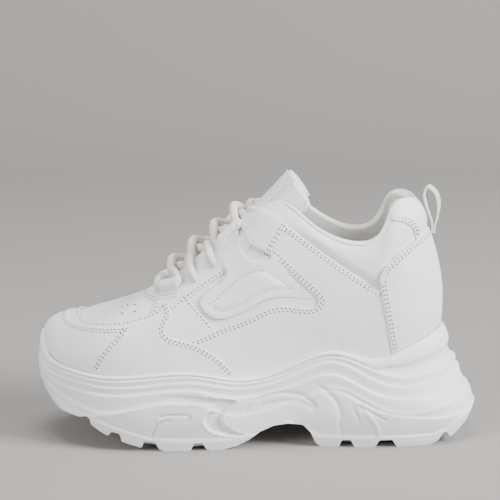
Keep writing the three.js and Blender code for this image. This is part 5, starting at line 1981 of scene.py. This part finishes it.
def build_stage():
    scene = bpy.context.scene
    tones = scene.sneaker_colours
    light = scene.sneaker_lights
    y = [2.4, 1.0, 0.0, -1.0]
    z = [0.0] * 4
    for a in np.linspace(0, math.pi / 2, 14)[1:]:
        y.append(-1.0 - 0.8 * math.sin(a))
        z.append(0.8 - 0.8 * math.cos(a))
    y.append(-1.8)
    z.append(3.2)
    count = len(y)
    points = [(x, y[i], z[i]) for x in (-4.0, 4.0) for i in range(count)]
    faces = [(i, i + 1, count + i + 1, count + i) for i in range(count - 1)]
    mesh = bpy.data.meshes.new("floor")
    mesh.from_pydata(points, [], faces)
    mesh.polygons.foreach_set("use_smooth", [True] * len(mesh.polygons))
    floor = bpy.data.objects.new("floor", mesh)
    scene.collection.objects.link(floor)
    mesh.materials.append(patchy_material("Pale floor", tones.floor, 0.9, 0.2, 6.0, 2.0, 0.985))

    world = bpy.data.worlds.new("studio")
    world.use_nodes = True
    world.node_tree.nodes["Background"].inputs["Color"].default_value = (0.93, 0.95, 1.0, 1.0)
    world.node_tree.nodes["Background"].inputs["Strength"].default_value = light.ambient
    scene.world = world

    def soft(name, place, aim, size, energy, colour):
        data = bpy.data.lights.new(name, "AREA")
        data.shape = "RECTANGLE"
        data.size, data.size_y = size
        data.energy = energy
        data.color = colour
        lamp = bpy.data.objects.new(name, data)
        lamp.location = place
        lamp.rotation_euler = looking(place, aim)
        scene.collection.objects.link(lamp)
    soft("key", (-1.9, 0.85, 1.15), (0, 0, 0.08), (1.0, 1.0), light.key, (1.0, 1.0, 1.0))
    soft("fill", (1.7, 1.5, 0.9), (0, 0, 0.08), (1.4, 1.2), light.fill, (1.0, 1.0, 1.0))
    soft("top", (0.1, 0.1, 1.7), (0, 0, 0.05), (1.0, 1.0), light.top, (1.0, 1.0, 1.0))

    camera = bpy.data.cameras.new("camera")
    camera.lens = CAMERA_LENS
    camera.sensor_width = 36.0
    seen = bpy.data.objects.new("camera", camera)
    seen.location = CAMERA_PLACE
    seen.rotation_euler = looking(CAMERA_PLACE, CAMERA_AIM)
    scene.collection.objects.link(seen)
    scene.camera = seen


# ---------- add-on ----------
def length(name, about, default, least=0.0001):
    return FloatProperty(name=name, description=about, default=default, min=least, unit="LENGTH")


def power(name, about, default):
    return FloatProperty(name=name, description=about, default=default, min=0.0, unit="POWER")


def colour(name, description, default):
    return FloatVectorProperty(name=name, description=description, default=default,
                               subtype="COLOR", size=3, min=0.0, max=1.0)


class SneakerSizes(PropertyGroup):
    stitch_pitch: length("Stitch pitch", "Length of one stitch", 0.0027, 0.001)
    thread_radius: length("Thread radius", "Half the seam thread's width", 0.00027)
    hole_radius: length("Needle hole radius", "Half a needle hole's width", 0.00052)
    lace_radius: length("Lace radius", "Half the lace cord's width", 0.0027, 0.0005)
    rib_pitch: length("Rib pitch", "Distance from one pod rib to the next", 0.0013, 0.0005)
    rib_radius: length("Rib radius", "Half a pod rib's width", 0.00026)


class SneakerColours(PropertyGroup):
    leather: colour("Leather", "Panels of the upper", (0.84, 0.84, 0.875))
    ribbon: colour("Ribbon", "Centre strip of the tongue", (0.78, 0.78, 0.76))
    rubber: colour("Rubber", "Midsole and outsole", (0.84, 0.84, 0.86))
    lining: colour("Lining", "Spacer mesh inside", (0.80, 0.78, 0.73))
    lace: colour("Lace", "Lace cord", (0.85, 0.81, 0.71))
    webbing: colour("Webbing", "Pull loop", (0.84, 0.83, 0.80))
    thread: colour("Thread", "Seam thread", (0.86, 0.86, 0.86))
    hole: colour("Hole", "Shade inside needle and air holes", (0.05, 0.05, 0.055))
    floor: colour("Floor", "Floor and backdrop", (0.31, 0.295, 0.28))


class SneakerLights(PropertyGroup):
    key: power("Key", "Soft light from the heel side", 128.0)
    fill: power("Fill", "Soft light from the toe side", 42.0)
    top: power("Top", "Soft light from above", 22.0)
    ambient: FloatProperty(name="Ambient", description="Even light from all round", default=0.46,
                           min=0.0)


def build_step(key, label, about, *builders):
    """One build step as an operator of the add-on."""
    def execute(self, context):
        for build in builders:
            build()
        return {"FINISHED"}
    return type(f"SNEAKER_OT_{key}", (Operator,), {
        "__doc__": about, "bl_idname": f"sneaker.{key}", "bl_label": label, "execute": execute})


STEPS = (
    build_step("sole", "Sole", "Midsole and the two outsole pieces, cut by the tread", build_sole),
    build_step("pod_ribs", "Pod ribs", "Fine ribs across the outsole's pods", build_pod_ribs),
    build_step("insole", "Insole", "Insole with its mesh cover", build_insole),
    build_step("shell", "Upper shell", "Ground leather, from the sole to the topline", build_shell),
    build_step("lining", "Lining", "Padded lining with its collar roll", build_lining),
    build_step("panels", "Panels", "Cut leather panels laid on the upper", build_panels),
    build_step("piping", "Collar piping", "Rolled binding along the topline", build_piping),
    build_step("tongue", "Tongue", "Padded tongue with its ribbon and binding", build_tongue,
               build_tongue_ribbon, build_tongue_binding),
    build_step("lace_tabs", "Lace tabs", "Folded lace tabs and the lace straps", build_lace_tabs),
    build_step("laces", "Laces", "Braided lace through its tabs and holes", build_laces),
    build_step("pull_loop", "Pull loop", "Webbing pull loop behind the heel", build_pull_loop),
    build_step("seams", "Seams", "Rows of stitching and punched air holes", build_seams,
               build_punched_holes),
    build_step("stage", "Stage", "Floor, lights and camera", build_stage),
)


class SNEAKER_PT_build(Panel):
    """Build steps of the sneaker, in order"""
    bl_idname = "SNEAKER_PT_build"
    bl_label = "Platform Sneaker"
    bl_space_type = "VIEW_3D"
    bl_region_type = "UI"
    bl_category = "Sneaker"

    def draw(self, context):
        for group in (context.scene.sneaker_sizes, context.scene.sneaker_colours,
                      context.scene.sneaker_lights):
            box = self.layout.box()
            for name in group.__annotations__:
                box.prop(group, name)
        for step in STEPS:
            self.layout.operator(step.bl_idname)


CLASSES = (SneakerSizes, SneakerColours, SneakerLights) + STEPS + (SNEAKER_PT_build,)


def register():
    for cls in CLASSES:
        bpy.utils.register_class(cls)
    bpy.types.Scene.sneaker_sizes = PointerProperty(type=SneakerSizes)
    bpy.types.Scene.sneaker_colours = PointerProperty(type=SneakerColours)
    bpy.types.Scene.sneaker_lights = PointerProperty(type=SneakerLights)


def unregister():
    del bpy.types.Scene.sneaker_lights
    del bpy.types.Scene.sneaker_colours
    del bpy.types.Scene.sneaker_sizes
    for cls in reversed(CLASSES):
        bpy.utils.unregister_class(cls)


def main():
    register()
    for step in STEPS:
        group, name = step.bl_idname.split(".")
        getattr(getattr(bpy.ops, group), name)()


if __name__ == "__main__":
    main()
